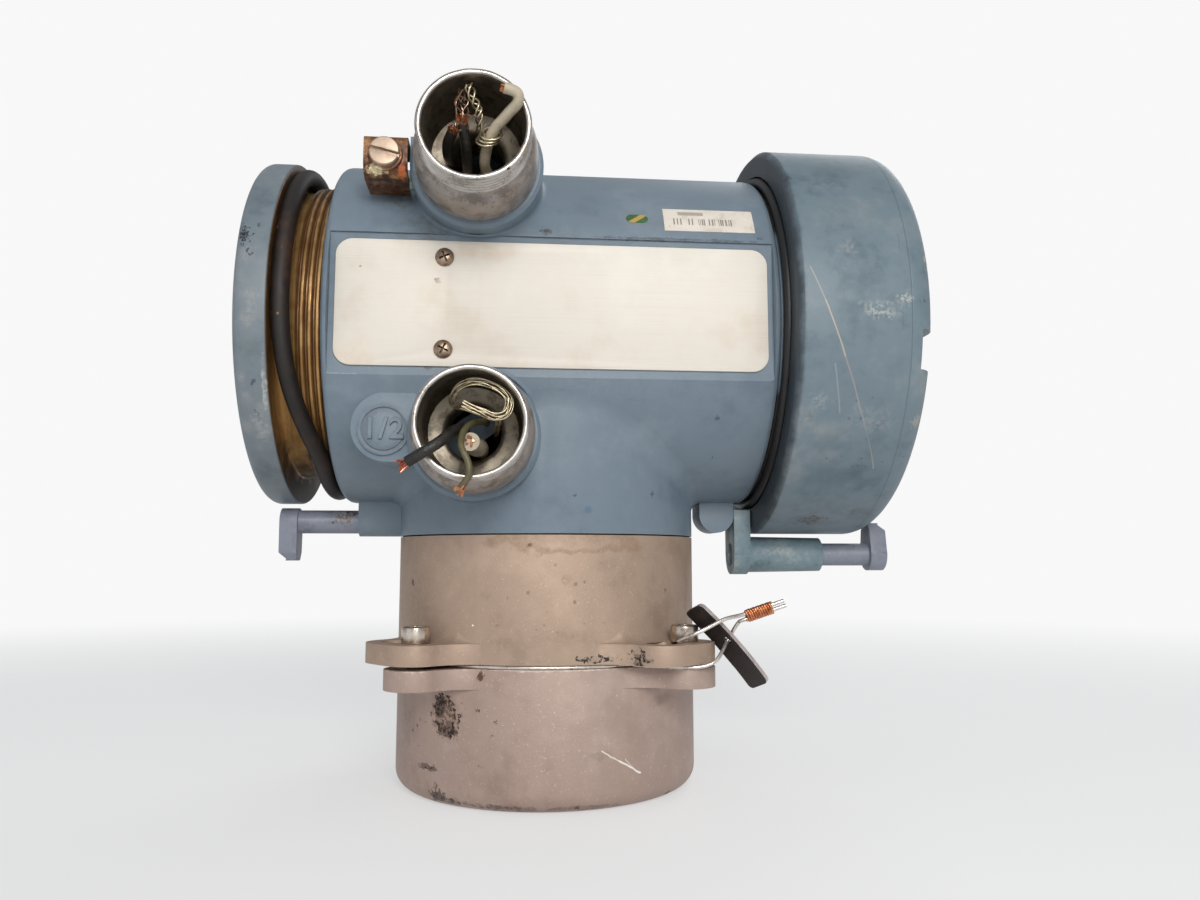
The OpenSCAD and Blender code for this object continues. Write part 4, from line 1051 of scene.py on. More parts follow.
CAST_GREY = Finish(
    'bare_cast_aluminium', (170, 147, 129), (190, 166, 147), (140, 118, 102), (0.025, 0.6), metallic=0.3, rough=0.55,
    skin=(1.3, 0.11), coarse=0.5, sparkle=(0.6, (216, 202, 188)), specks=(0.14, 0.07, (96, 70, 54)),
    patches=(
        Patch((25.6, -46, 44.2), (3.4, 9, 2.5), (30, 24, 22), 1.0, 0.8, 0.7, soft=0.12),
        Patch((12.6, -48, 43.9), (5.6, 6, 1.1), (34, 28, 26), 1.0, 0.7, 0.7, soft=0.12, scuff=0.9),
        Patch((35.3, -34.8, 63.4), (0.7, 1, 0.8), (90, 70, 58), 0.9, 0.7, 1.6),
        Patch((-23.5, -43.7, 53.6), (0.4, 1, 0.4), (236, 230, 220), 1.0, 0.2, 1.0, scuff=0.0),
        Patch((10, -48.5, 78.4), (30, 8, 4.6), (132, 104, 78), 0.5, 0.4, 0.16, hollow=0.85, soft=0.2, scuff=0.3),
        Patch((10, -48.5, 80), (34, 8, 3.4), (138, 112, 90), 0.35, 0.5, 0.2, soft=0.8),
        Patch((4, -49, 67), (2.2, 3, 2.2), (140, 112, 92), 0.35, 0.4, 0.5),
        # Darker towards both flanks: painted shade where the round wall turns from the light.
        Patch((-40, -28, 60), (14, 16, 22), (120, 100, 86), 0.45, 0.3, 0.08, soft=1.0),
        Patch((44, -22, 62), (10, 16, 20), (128, 108, 92), 0.4, 0.3, 0.08, soft=1.0),
        Patch((8, -48, 50), (26, 8, 4), (132, 106, 88), 0.35, 0.4, 0.2, soft=1.0),
        Patch((0, -50, 60), (46, 8, 16), (112, 84, 64), 0.6, 0.5, 0.2, scuff=0.0, fleck=0.35),
    ))
CAP_GREY = Finish(
    'bare_cast_end_cap', (168, 146, 135), (188, 168, 157), (140, 117, 105), (0.025, 0.6), metallic=0.3, rough=0.54,
    skin=(1.3, 0.12), coarse=0.5, sparkle=(0.7, (220, 208, 198)), specks=(0.14, 0.08, (96, 66, 50)),
    patches=(
        Patch((-31.4, -38.4, 27.4), (7.0, 8.5, 8.4), (138, 106, 80), 0.6, 0.5, 0.4, soft=0.8),
        Patch((-31.2, -38.5, 27.0), (4.6, 9, 6.4), (44, 26, 19), 1.0, 0.5, 0.6, hollow=0.35, soft=0.12, scuff=0.75,
              rough=0.9),
        Patch((-33.2, -37, 29.6), (1.7, 6, 3.4), (32, 22, 18), 1.0, 0.6, 0.8, soft=0.12, scuff=0.3, rough=0.9),
        Patch((-30.6, -39, 22.4), (3.4, 6, 1.6), (40, 24, 18), 1.0, 0.7, 0.8, soft=0.12, scuff=0.4, rough=0.9),
        Patch((-31.2, -38.5, 27.0), (4.2, 7, 5.6), (140, 76, 40), 0.9, 0.5, 0.8, scuff=0.0, fleck=0.6),
        Patch((-40.5, -28, 19), (5.4, 8, 7.6), (74, 44, 30), 1.0, 0.5, 0.4, soft=0.2, scuff=0.0, fleck=0.42),
        Patch((-29, -40, 15), (10, 8, 8), (56, 34, 25), 1.0, 0.5, 0.4, soft=0.2, scuff=0.0, fleck=0.26),
        Patch((-14, -47, 24), (16, 8, 14), (66, 42, 32), 1.0, 0.5, 0.4, soft=0.2, scuff=0.0, fleck=0.17),
        # Darker on the left flank: painted shade.
        Patch((-43.7, -23.5, 25), (7, 10, 12), (112, 90, 76), 0.55, 0.4, 0.2, soft=1.0),
        Patch((-36.8, -33.4, 11.2), (3.2, 6, 1.0), (50, 32, 25), 1.0, 0.8, 0.8, soft=0.15, scuff=0.4),
        Patch((-33.6, -36.6, 3.0), (2.8, 6, 2.0), (32, 24, 20), 1.0, 0.7, 0.8, soft=0.15, scuff=0.3),
        Patch((-28.4, -40, 2.2), (4.6, 5, 1.1), (44, 34, 30), 0.9, 0.9, 0.9),
        Patch((-16, -45, 1.8), (12, 8, 1.1), (66, 52, 44), 0.7, 0.8, 0.5),
        Patch((12, -48, 1.6), (30, 8, 1.0), (84, 70, 62), 0.55, 0.7, 0.3),
        # Dark under the front right ear: painted shadow.
        Patch((33.1, -36.9, 30.6), (7.4, 6, 2.2), (104, 84, 70), 0.55, 0.5, 0.4, soft=0.9),
        Patch((12.7, -48, 16.3), (6, 4, 1.6), (140, 122, 110), 0.6, 0.8, 0.4),
        Patch((0, -50, 40.9), (60, 6, 0.5), (214, 200, 186), 0.7, 0.6, 0.5),
    ),
    scratches=(
        Scratch((14.8, -47.3, 17.4), (19.7, -45.5, 14.4), (238, 230, 222), 0.3, 0.5, 0.5, 0.8),
        Scratch((19.7, -45.5, 14.4), (26.4, -42.0, 10.2), (244, 236, 228), 0.42, 0.4, 0.35, 1.0),
        Scratch((21.5, -44.7, 14.8), (24.0, -43.4, 12.0), (230, 220, 212), 0.22, 0.4, 0.5, 0.7),
    ))
STEEL_SCREW = Finish(
    'stainless_screw', (198, 186, 174), (224, 214, 204), (140, 126, 114), (0.3, 0.6), metallic=1.0, rough=0.27,
    swing=0.25, skin=(5.0, 0.006))
PLATE_SCREW = Finish(
    'dulled_plate_screw', (150, 128, 108), (186, 166, 146), (96, 78, 64), (0.45, 0.7), metallic=0.9, rough=0.36,
    swing=0.25, skin=(5.0, 0.006))
BRIGHT_SCREW = Finish(
    'bright_slotted_screw', (182, 160, 140), (208, 190, 170), (140, 116, 96), (0.35, 0.5), metallic=0.6, rough=0.45,
    swing=0.2, skin=(3.0, 0.02))
RUBBER = Finish(
    'black_rubber', (20, 19, 20), (34, 32, 32), (12, 12, 13), (0.12, 0.6), rough=0.46, swing=0.2, skin=(3.0, 0.008))
LOOSE_RING = Finish(
    'greased_ring', (24, 18, 15), (52, 32, 20), (13, 11, 10), (0.16, 0.8), rough=0.62, swing=0.2, skin=(2.0, 0.02),
    specks=(0.4, 0.05, (130, 90, 54)),
    patches=(
        Patch((-79, -51, 160), (4, 6, 26), (72, 42, 24), 0.6, 0.5, 0.4, soft=0.9),
        Patch((-77.6, -54.6, 126.6), (0.9, 2, 0.9), (236, 206, 150), 1.0, 0.2, 1.0, scuff=0.0),
    ))
WHITE_WIRE = Finish(
    'white_insulation', (176, 164, 142), (200, 190, 168), (128, 112, 86), (0.2, 0.7), rough=0.45, skin=(0.9, 0.15),
    specks=(0.6, 0.05, (90, 74, 56)))
BLACK_WIRE = Finish(
    'black_insulation', (26, 24, 22), (56, 48, 38), (15, 14, 13), (0.3, 0.7), rough=0.36, skin=(0.9, 0.35))
OLIVE_WIRE = Finish(
    'olive_insulation', (86, 78, 52), (112, 104, 72), (48, 42, 28), (0.25, 0.6), rough=0.42, skin=(3.0, 0.006))
COPPER = Finish(
    'bare_copper', (196, 124, 84), (244, 196, 156), (104, 54, 32), (0.8, 0.9), metallic=0.9, rough=0.32, swing=0.2,
    skin=(4.0, 0.004))
RED_COPPER = Finish(
    'flamed_copper', (172, 86, 64), (242, 188, 162), (72, 32, 25), (0.8, 0.9), metallic=0.8, rough=0.34, swing=0.2,
    skin=(4.0, 0.004))
TINNED = Finish(
    'tinned_strand', (196, 182, 152), (234, 224, 202), (124, 106, 78), (0.5, 0.8), metallic=0.85, rough=0.3,
    swing=0.2, skin=(4.0, 0.004))
STRAY = Finish(
    'stray_copper_strand', (140, 114, 98), (206, 176, 154), (66, 50, 42), (0.5, 0.9), metallic=0.9, rough=0.3,
    skin=(4.0, 0.004))
SEAL_WIRE = Finish(
    'seal_wire_steel', (212, 204, 196), (236, 230, 224), (150, 136, 124), (0.3, 0.7), metallic=0.85, rough=0.3,
    swing=0.2, skin=(4.0, 0.003))
DARK_PLASTIC = Finish(
    'dark_moulding', (48, 50, 54), (64, 66, 70), (34, 35, 38), (0.08, 0.4), rough=0.45, skin=(3.0, 0.01))
GREY_PLASTIC = Finish(
    'grey_moulding', (128, 132, 134), (144, 148, 150), (108, 112, 114), (0.08, 0.4), skin=(3.0, 0.01))
BOARD = Finish(
    'board_lacquer', (40, 96, 62), (60, 122, 84), (26, 70, 44), (0.4, 0.6), rough=0.35, skin=(1.5, 0.01))
PANEL = Finish(
    'display_panel', (138, 150, 126), (150, 160, 138), (122, 134, 112), (0.05, 0.3), rough=0.2, skin=(4.0, 0.002))
HOUSING_BLUE = HousingFinish(
    'housing_blue_paint', (108, 123, 135), (127, 139, 148), (87, 102, 116), (0.03, 0.55), rough=0.46, swing=0.16,
    skin=(1.3, 0.07), specks=(0.16, 0.06, (70, 82, 92)),
    patches=(
        Patch((-38, -48, 171), (16, 12, 9), (82, 82, 74), 0.5, 0.4, 0.25, soft=0.9),
        Patch((-45, -50, 184), (10, 14, 8), (74, 70, 60), 0.7, 0.4, 0.3, soft=0.9),
        Patch((-42.5, -56, 188), (2.6, 4, 9), (72, 96, 86), 0.8, 0.4, 0.5),
        Patch((-3, -53, 171.4), (2.2, 3, 1.6), (48, 34, 26), 0.9, 0.5, 0.9),
        # A dark line along the plate's top edge: painted shadow of the step above it.
        Patch((34, -53, 169.8), (30, 3, 0.7), (56, 52, 50), 0.6, 0.5, 0.5),
        Patch((-62, -20, 193), (9, 12, 6), (132, 138, 140), 0.4, 0.5, 0.3, soft=0.9),
        Patch((60, -38, 192), (9, 12, 6), (130, 134, 136), 0.35, 0.5, 0.3, soft=0.9),
        Patch((10, -49, 125), (42, 10, 7), (128, 138, 147), 0.3, 0.3, 0.12, soft=1.0),
        # A dark ring round the raised size disc: painted shade in its corner.
        Patch((-50, -51, 110.7), (9.6, 3, 9.6), (56, 66, 78), 0.55, 0.12, 0.5, hollow=1.0, scuff=0.1),
        Patch((-50, -51, 110.7), (6.4, 1.5, 4.4), (128, 138, 147), 0.3, 0.3, 0.4, soft=1.0),
        Patch((10.3, -49, 87.6), (1.9, 4, 1.9), (80, 106, 128), 0.8, 0.2, 0.4, soft=0.7, scuff=0.0),
        Patch((-4, -49, 168), (24, 10, 9), (92, 96, 96), 0.35, 0.4, 0.2, soft=1.0),
        Patch((30, -44, 176), (36, 12, 5), (120, 116, 110), 0.3, 0.4, 0.2, soft=1.0),
    ),
    scratches=(
        Scratch((8, -47, 186), (9.5, -49, 181), (150, 160, 168), 0.3, 0.2, 0.5, 0.6),
        Scratch((-66.5, -52.4, 127), (-58, -52.4, 126.6), (150, 160, 168), 0.25, 0.2, 0.6, 0.5),
    ))
COVER_BLUE = DisplayCoverFinish(
    'display_cover_paint', (103, 119, 128), (131, 139, 142), (76, 95, 106), (0.03, 0.8), rough=0.47, swing=0.18,
    skin=(1.3, 0.07), specks=(0.14, 0.08, (64, 78, 88)),
    patches=(
        Patch((94.3, -67.1, 145.6), (8.5, 6, 3.6), (178, 180, 172), 0.6, 0.4, 0.35, soft=1.0, scuff=1.0),
        Patch((102, -67, 149), (4, 5, 3), (186, 186, 176), 0.6, 0.4, 0.5, soft=1.0, scuff=1.0),
        Patch((95, -57.5, 114.2), (10, 8, 6), (146, 148, 148), 0.4, 0.4, 0.35, soft=1.0, scuff=0.9),
        Patch((77.6, -60.2, 119.1), (5, 6, 4), (160, 166, 166), 0.5, 0.5, 0.4, soft=1.0, scuff=1.0),
        Patch((74.4, -57.8, 114.8), (3, 4, 3), (158, 146, 130), 0.45, 0.5, 0.6, soft=1.0, scuff=1.0),
        Patch((86.1, -65.3, 165.1), (5, 6, 3), (152, 148, 140), 0.45, 0.5, 0.5, soft=1.0, scuff=1.0),
        Patch((88, -48, 196), (20, 10, 5), (70, 88, 92), 0.4, 0.4, 0.2, soft=1.0, scuff=0.3),
        Patch((84, -52, 188), (16, 10, 5), (138, 150, 154), 0.35, 0.4, 0.2, soft=1.0, scuff=0.8),
        Patch((88, -60, 176), (18, 10, 9), (136, 138, 134), 0.3, 0.4, 0.2, soft=1.0, scuff=0.7),
        # Darker, cooler blue low on the front: painted shade.
        Patch((90, -46, 99), (19, 14, 8), (58, 80, 92), 0.55, 0.35, 0.2, soft=1.0, scuff=0.2),
        Patch((84, -52, 108), (8, 10, 5), (64, 88, 100), 0.45, 0.35, 0.2, soft=1.0, scuff=0.2),
        Patch((86, -22, 86), (6, 9, 1.6), (58, 42, 28), 0.8, 0.7, 0.6, scuff=0.7),
        Patch((100, -30, 88), (6, 9, 2.2), (54, 60, 62), 0.45, 0.6, 0.4, soft=0.9),
        Patch((108.7, -48.7, 195.3), (1.6, 2.5, 2.0), (186, 172, 148), 0.9, 0.5, 0.9),
        Patch((110.6, -65.5, 164), (1.3, 3, 6), (178, 166, 150), 0.8, 0.6, 0.7),
        Patch((111.8, -64.5, 134), (1.2, 4, 6), (190, 172, 140), 0.9, 0.5, 0.7),
        Patch((109.6, -57.5, 114.2), (2.4, 4, 2.5), (170, 164, 150), 0.8, 0.7, 0.8),
        Patch((94, -50, 110), (22, 16, 24), (52, 60, 66), 0.5, 0.5, 0.3, scuff=0.0, fleck=0.45),
    ),
    scratches=(
        Scratch((74, -66.5, 158.3), (78.2, -67.2, 148.1), (160, 156, 146), 0.3, 0.06, 0.2, 0.7),
        Scratch((78.2, -67.2, 148.1), (84.4, -65, 132.1), (180, 166, 148), 0.34, 0.06, 0.05, 0.8),
        Scratch((84.4, -65, 132.1), (90.2, -59.7, 118.1), (152, 140, 134), 0.34, 0.06, 0.2, 0.7),
        Scratch((90.2, -59.7, 118.1), (98.8, -47, 100.9), (152, 148, 144), 0.32, 0.06, 0.45, 0.6),
        Scratch((81.4, -64.4, 129.7), (84.4, -58.8, 116.4), (146, 152, 156), 0.3, 0.06, 0.25, 0.6),
        Scratch((102, -64, 170), (101.4, -66.8, 140), (70, 86, 96), 0.28, 0.05, 0.6, 0.35),
    ))
BRACKET_BLUE = Finish(
    'lock_bracket_paint', (110, 130, 138), (150, 160, 161), (80, 98, 106), (0.09, 0.8), rough=0.46, swing=0.18,
    skin=(1.3, 0.06), specks=(0.3, 0.05, (60, 70, 74)),
    patches=(Patch((80, -8, 76), (12, 8, 3), (168, 172, 166), 0.5, 0.4, 0.3, soft=1.0, scuff=0.8),))
NAMEPLATE = PlateFinish(
    'brushed_nameplate', (213, 206, 195), (223, 218, 209), (200, 188, 172), (0.02, 0.6), metallic=0.08, rough=0.6,
    swing=0.08,
    patches=(
        Patch((-20, -53, 164), (11, 3, 3.4), (196, 160, 118), 0.35, 0.5, 0.2, soft=0.8),
        Patch((-60, -53, 132), (9, 3, 8), (206, 184, 156), 0.35, 0.5, 0.2, soft=0.8),
        Patch((-57.5, -53.2, 158.7), (0.5, 1, 0.4), (60, 50, 44), 1.0, 0.3, 1.0),
        Patch((-35, -53.2, 155), (0.9, 1, 0.9), (120, 104, 88), 0.8, 0.6, 1.0),
    ))
LABEL = LabelFinish(
    'stock_label_paper', (214, 206, 194), (226, 220, 210), (176, 164, 148), (0.15, 0.5), rough=0.6, skin=(2.0, 0.01),
    patches=(Patch((34.2, -49.6, 174.2), (1.6, 2, 1.4), (150, 134, 112), 0.8, 0.6, 0.8),))
STICKER = StickerFinish(
    'inspection_sticker_film', (58, 96, 58), (88, 120, 70), (34, 56, 40), (0.4, 0.6), rough=0.35, skin=(3.0, 0.004))
BRASS_SADDLE = TarnishFinish(
    'tarnished_brass_saddle', (112, 72, 44), (168, 128, 90), (50, 31, 20), (0.22, 0.9), metallic=0.5, rough=0.42,
    swing=0.25, skin=(1.6, 0.05),
    patches=(
        Patch((-52.6, -61, 184.8), (3.6, 3, 2.6), (236, 220, 176), 1.0, 0.6, 0.6, scuff=0.3),
        Patch((-50, -56, 195.6), (7, 7, 1.2), (176, 148, 118), 0.8, 0.5, 0.4, scuff=0.6),
        Patch((-45.4, -60.6, 185.4), (1.6, 3, 3.4), (186, 96, 44), 0.9, 0.6, 0.7, scuff=0.3),
        # A dark ring round the washer and a dark line below it: painted shadow of the screw head.
        Patch((-49.5, -61.6, 189.6), (6, 0.8, 6), (24, 17, 14), 0.9, 0.2, 0.4, scuff=0.2),
        Patch((-50, -58, 183.2), (6, 3, 0.9), (30, 20, 15), 0.9, 0.6, 0.6, scuff=0.2),
    ))
UPPER_ZINC = ZincFinish(
    'upper_fitting_zinc', (186, 180, 174), (218, 214, 208), (128, 120, 112), (0.16, 0.7), metallic=0.9, rough=0.32,
    swing=0.3, skin=(2.4, 0.012), specks=(0.35, 0.05, (84, 58, 40)),
    patches=(
        Patch((-9.4, -84, 181.5), (2.6, 4, 5.5), (120, 92, 64), 0.6, 0.8, 0.8),
        Patch((-14, -72, 174), (7, 5, 3), (104, 84, 68), 0.55, 0.8, 0.5),
        Patch((-30, -68, 173), (9, 5, 3), (150, 132, 112), 0.5, 0.8, 0.5),
    ))
LOWER_ZINC = ZincFinish(
    'lower_fitting_zinc', (184, 178, 172), (216, 212, 206), (124, 114, 104), (0.16, 0.7), metallic=0.9, rough=0.33,
    swing=0.3, skin=(2.4, 0.012), specks=(0.35, 0.05, (84, 58, 40)), face_y=-78.7, axis_z=109.4,
    patches=(
        Patch((-36, -70, 108), (3.5, 8, 8), (150, 130, 96), 0.5, 0.8, 0.5),
        Patch((-8, -64, 100), (6, 6, 9), (128, 118, 108), 0.6, 0.6, 0.3),
    ))
WIRING_COVER = CoverFinish(
    'wiring_cover_paint_and_gold', (109, 120, 127), (138, 142, 143), (82, 97, 108), (0.035, 0.8), rough=0.46,
    swing=0.16, skin=(1.3, 0.06), specks=(0.16, 0.08, (66, 76, 84)),
    patches=(
        Patch((-90.4, -54.9, 165.6), (2.2, 4, 3.8), (26, 26, 34), 1.0, 1.0, 1.0, scuff=1.0),
        Patch((-91.8, -54.6, 168.6), (1.4, 3, 2.6), (30, 30, 38), 1.0, 1.0, 1.2, scuff=1.0),
        Patch((-88.6, -56, 161.4), (1.4, 3, 1.6), (44, 44, 54), 0.9, 1.0, 1.2, scuff=1.0),
        Patch((-87.8, -57, 143.5), (3.4, 6, 10), (150, 148, 146), 0.5, 0.4, 0.25, soft=1.0, scuff=0.6),
        Patch((-86.3, -44, 110.5), (3.8, 8, 11), (160, 160, 160), 0.55, 0.45, 0.25, soft=1.0, scuff=0.8),
        Patch((-90.4, -52.2, 125), (2.4, 5, 4), (156, 158, 158), 0.45, 0.5, 0.4, soft=1.0, scuff=0.9),
        Patch((-84.2, -51.2, 123), (0.8, 8, 12), (176, 176, 172), 0.7, 0.5, 0.5, scuff=0.7),
        Patch((-93, -50, 149), (0.8, 30, 34), (156, 160, 162), 0.4, 0.5, 0.2),
        Patch((-88, -52, 180), (6, 12, 8), (80, 92, 98), 0.4, 0.4, 0.25, soft=1.0, scuff=0.3),
        Patch((-88, -54, 134), (5, 12, 5), (92, 106, 104), 0.4, 0.4, 0.25, soft=1.0),
        # Darker, cooler blue low on the flange rim: painted shade.
        Patch((-88, -30, 99), (6, 20, 5), (64, 76, 82), 0.5, 0.4, 0.25, soft=1.0, scuff=0.3),
    ))
TAG = Finish(
    'seal_tag_black', (36, 32, 32), (54, 50, 50), (24, 22, 22), (0.15, 0.5), rough=0.42, skin=(2.0, 0.01))
TAG_EDGE = Finish(
    'seal_tag_worn_edge', (190, 178, 176), (222, 214, 210), (140, 128, 126), (0.4, 0.6), metallic=0.5, rough=0.4,
    skin=(3.0, 0.006))


# ---------------------------------------------------------------- the studio


@dataclass
class Studio:
    """Camera, lamps, floor and sky."""

    spot: Point = (-12.53, -331.23, 73.31)
    sight: Point = (0.0920, 0.9894, 0.1127)
    lens: float = 28.6
    floor_half: float = 6000.0
    fade_from: float = 0.25
    fade_to: float = 1.0
    fade_least: float = 0.5
    backdrop: tuple[float, ...] = (0.94, 0.94, 0.94, 1.0)

    @staticmethod
    def aimed(name: str, data: bpy.types.ID, spot: Vector, way: Vector) -> Piece:
        """Puts a camera or lamp at a spot in metres, looking one way."""
        made = linked(name, data)
        made.matrix_world = Matrix.Translation(spot) @ way.to_track_quat("-Z", "Y").to_matrix().to_4x4()
        return made

    def camera(self) -> None:
        """Places the camera where the object is seen from."""
        data = bpy.data.cameras.new("camera")
        data.lens, data.sensor_width = self.lens, 36.0
        data.clip_start, data.clip_end = 0.01, 50.0
        bpy.context.scene.camera = self.aimed("camera", data, Vector(self.spot) * MM, Vector(self.sight))

    def lamp(self, name: str, spot: Point, high: float, size: float, power: float, tone: Tone) -> None:
        """Hangs a soft square lamp.

        Args:
            name: the lamp's name.
            spot: where it hangs, in metres.
            high: height on the object's axis that it shines at, in metres.
            size: its side, in metres.
            power: its power in watts.
            tone: its colour.
        """
        data = bpy.data.lights.new(name, "AREA")
        data.size, data.energy, data.color = size, power, tone
        self.aimed(name, data, Vector(spot), Vector((0.0, 0.0, high)) - Vector(spot))

    def floor(self) -> None:
        """Lays the pale floor, which fades into the sky far off."""
        h = self.floor_half
        piece = new_mesh("floor", [Vector((x, y, 0)) for x, y in ((-h, -h), (h, -h), (h, h), (-h, h))],
                         [(0, 1, 2, 3)])
        material, net = new_material("pale_floor")
        metres = net.vector("LENGTH", net.add("ShaderNodeTexCoord").outputs["Object"])
        far = net.rise(metres, self.fade_from, self.fade_to)
        fade = net.plus(net.times(far, 1.0 - self.fade_least), self.fade_least)
        path = net.add("ShaderNodeLightPath").outputs
        seen = net.greater(path["Is Camera Ray"], path["Is Glossy Ray"])
        shader = net.add("ShaderNodeBsdfPrincipled", Base_Color=(0.86, 0.86, 0.86, 1.0), Roughness=0.75)
        glow = net.add("ShaderNodeEmission", Color=self.backdrop, Strength=1.0)
        net.add("ShaderNodeOutputMaterial", Surface=net.either(net.times(fade, seen), shader, glow))
        paint(piece, material)

    def sky(self) -> None:
        """Fills the studio with plain soft light."""
        world = bpy.context.scene.world = bpy.data.worlds.new("studio")
        world.use_nodes = True
        net = Net(world.node_tree)
        path = net.add("ShaderNodeLightPath").outputs
        seen = net.greater(path["Is Camera Ray"], path["Is Transmission Ray"])
        light = net.add("ShaderNodeBackground", Color=(0.93, 0.96, 1.0, 1.0), Strength=0.42)
        shown = net.add("ShaderNodeBackground", Color=self.backdrop, Strength=1.0)
        net.add("ShaderNodeOutputWorld", Surface=net.either(seen, light, shown))

    def build(self) -> None:
        """Sets the studio up."""
        self.camera()
        self.floor()
        self.sky()
        self.lamp("key", (0.06, -0.85, 0.42), 0.12, 0.34, 5.2, (1.0, 0.985, 0.96))
        self.lamp("fill", (-0.75, -0.5, 0.3), 0.1, 0.6, 0.5, (0.95, 0.97, 1.0))
        self.lamp("rim", (0.5, 0.6, 0.7), 0.14, 0.5, 1.8, (1.0, 1.0, 1.0))
        bpy.context.scene.view_settings.view_transform = "Standard"


# ---------------------------------------------------------------- the sub-assemblies


@dataclass
class BarrelHousing:
    """The two-compartment barrel on its neck, with its bosses."""

    axis_z: float
    barrel_r: float = 57.0
    neck_r: float = 49.6
    neck_corner: Pair = (3.5, 10.5)  # the fairing's radius at the sides, and what it grows by in front and behind
    boss_x: float = -23.6
    boss_z: float = 39.6
    boss_r: float = 19.6
    boss_corner: Pair = (0.5, 4.0)  # the fairing's radius toward the nameplate, and away from it
    mark_at: Point = (-50.0, -50.8, 110.7)
    mark_height: float = 6.0

    def fairing(self) -> Piece:
        """Fills the corner between neck and barrel with a closed ring.

        Returns:
            The fairing.
        """
        around, across = 144, 12
        points: Line = []
        inner = self.neck_r - 2.0
        for i in range(around):
            c, s = math.cos(TURN * i / around), math.sin(TURN * i / around)
            r = self.neck_corner[0] + self.neck_corner[1] * s ** 2
            cx, cy = (self.neck_r + r) * c, (self.neck_r + r) * s
            cz = -math.sqrt((self.barrel_r + r) ** 2 - cy * cy)
            down, up = Vector((-c, -s, 0.0)), Vector((0.0, -cy, -cz)) / (self.barrel_r + r)
            points += corner_arc(Vector((cx, cy, self.axis_z + cz)), down, up, r, across)
            wall = math.sqrt(self.barrel_r ** 2 - (inner * s) ** 2)
            points.append(Vector((inner * c, inner * s, self.axis_z - wall + 2.0)))
        return new_mesh("neck_fairing", points, strip_faces(around, across + 2, True), 40)

    def boss_fairing(self, name: str, z: float) -> Piece:
        """Fills the corner between a conduit boss and the barrel, where the boss does not stand clear of it.

        Args:
            name: the piece's name.
            z: the boss's height from the barrel's axis.

        Returns:
            The fairing.
        """
        across, steps = 6, 120
        x, boss_r, (least, most) = self.boss_x, self.boss_r, self.boss_corner
        rows: list[Line] = []
        inward = -1 if z > 0 else 1
        for i in range(steps + 1):
            phi = math.pi / 2 * -inward + TURN * i / steps
            out_x, out_z = math.cos(phi), math.sin(phi)
            r = least + (most - least) * (0.5 - 0.5 * out_z * inward) ** 0.8
            cx, cz = x + (boss_r + r) * out_x, z + (boss_r + r) * out_z
            if abs(cz) > self.barrel_r - 1.0:
                continue
            cy = -math.sqrt((self.barrel_r + r) ** 2 - cz * cz)
            to_boss, to_barrel = Vector((-out_x, 0.0, -out_z)), Vector((0.0, -cy, -cz)) / (self.barrel_r + r)
            line = corner_arc(Vector((cx, cy, self.axis_z + cz)), to_boss, to_barrel, r, across)
            inner = boss_r - 1.5
            rows.append(line + [Vector((x + inner * out_x, cy + r + 2.0, self.axis_z + z + inner * out_z))])
        return new_mesh(name, [p for line in rows for p in line], strip_faces(len(rows), across + 2, False), 40)

    def size_mark(self) -> Piece:
        """Raises the cast half-inch conduit size on its disc.

        Returns:
            The raised mark.
        """
        data = bpy.data.curves.new("conduit_size_mark", "FONT")
        data.body, data.align_x, data.align_y = "1/2", "CENTER", "CENTER"
        data.size, data.space_character = self.mark_height / 0.70 * MM, 1.12
        data.extrude, data.offset = 0.65 * MM, 0.05 * MM
        data.bevel_depth, data.bevel_resolution = 0.2 * MM, 2
        shown = linked("conduit_size_mark_curve", data)
        mesh = as_mesh(shown)
        mesh.transform(Matrix.Translation(Vector(self.mark_at) * MM) @ Matrix.Rotation(math.radians(90), 4, "X"))
        bpy.data.objects.remove(shown)
        return linked("conduit_size_mark", mesh)

    def build(self) -> None:
        """Builds and dresses the housing."""
        for piece in (softened("main_housing", 0.9, 3, 19.0), self.fairing(),
                      self.boss_fairing("lower_boss_fairing", -self.boss_z),
                      self.boss_fairing("upper_boss_fairing", self.boss_z), self.size_mark()):
            dress(piece, HOUSING_BLUE)


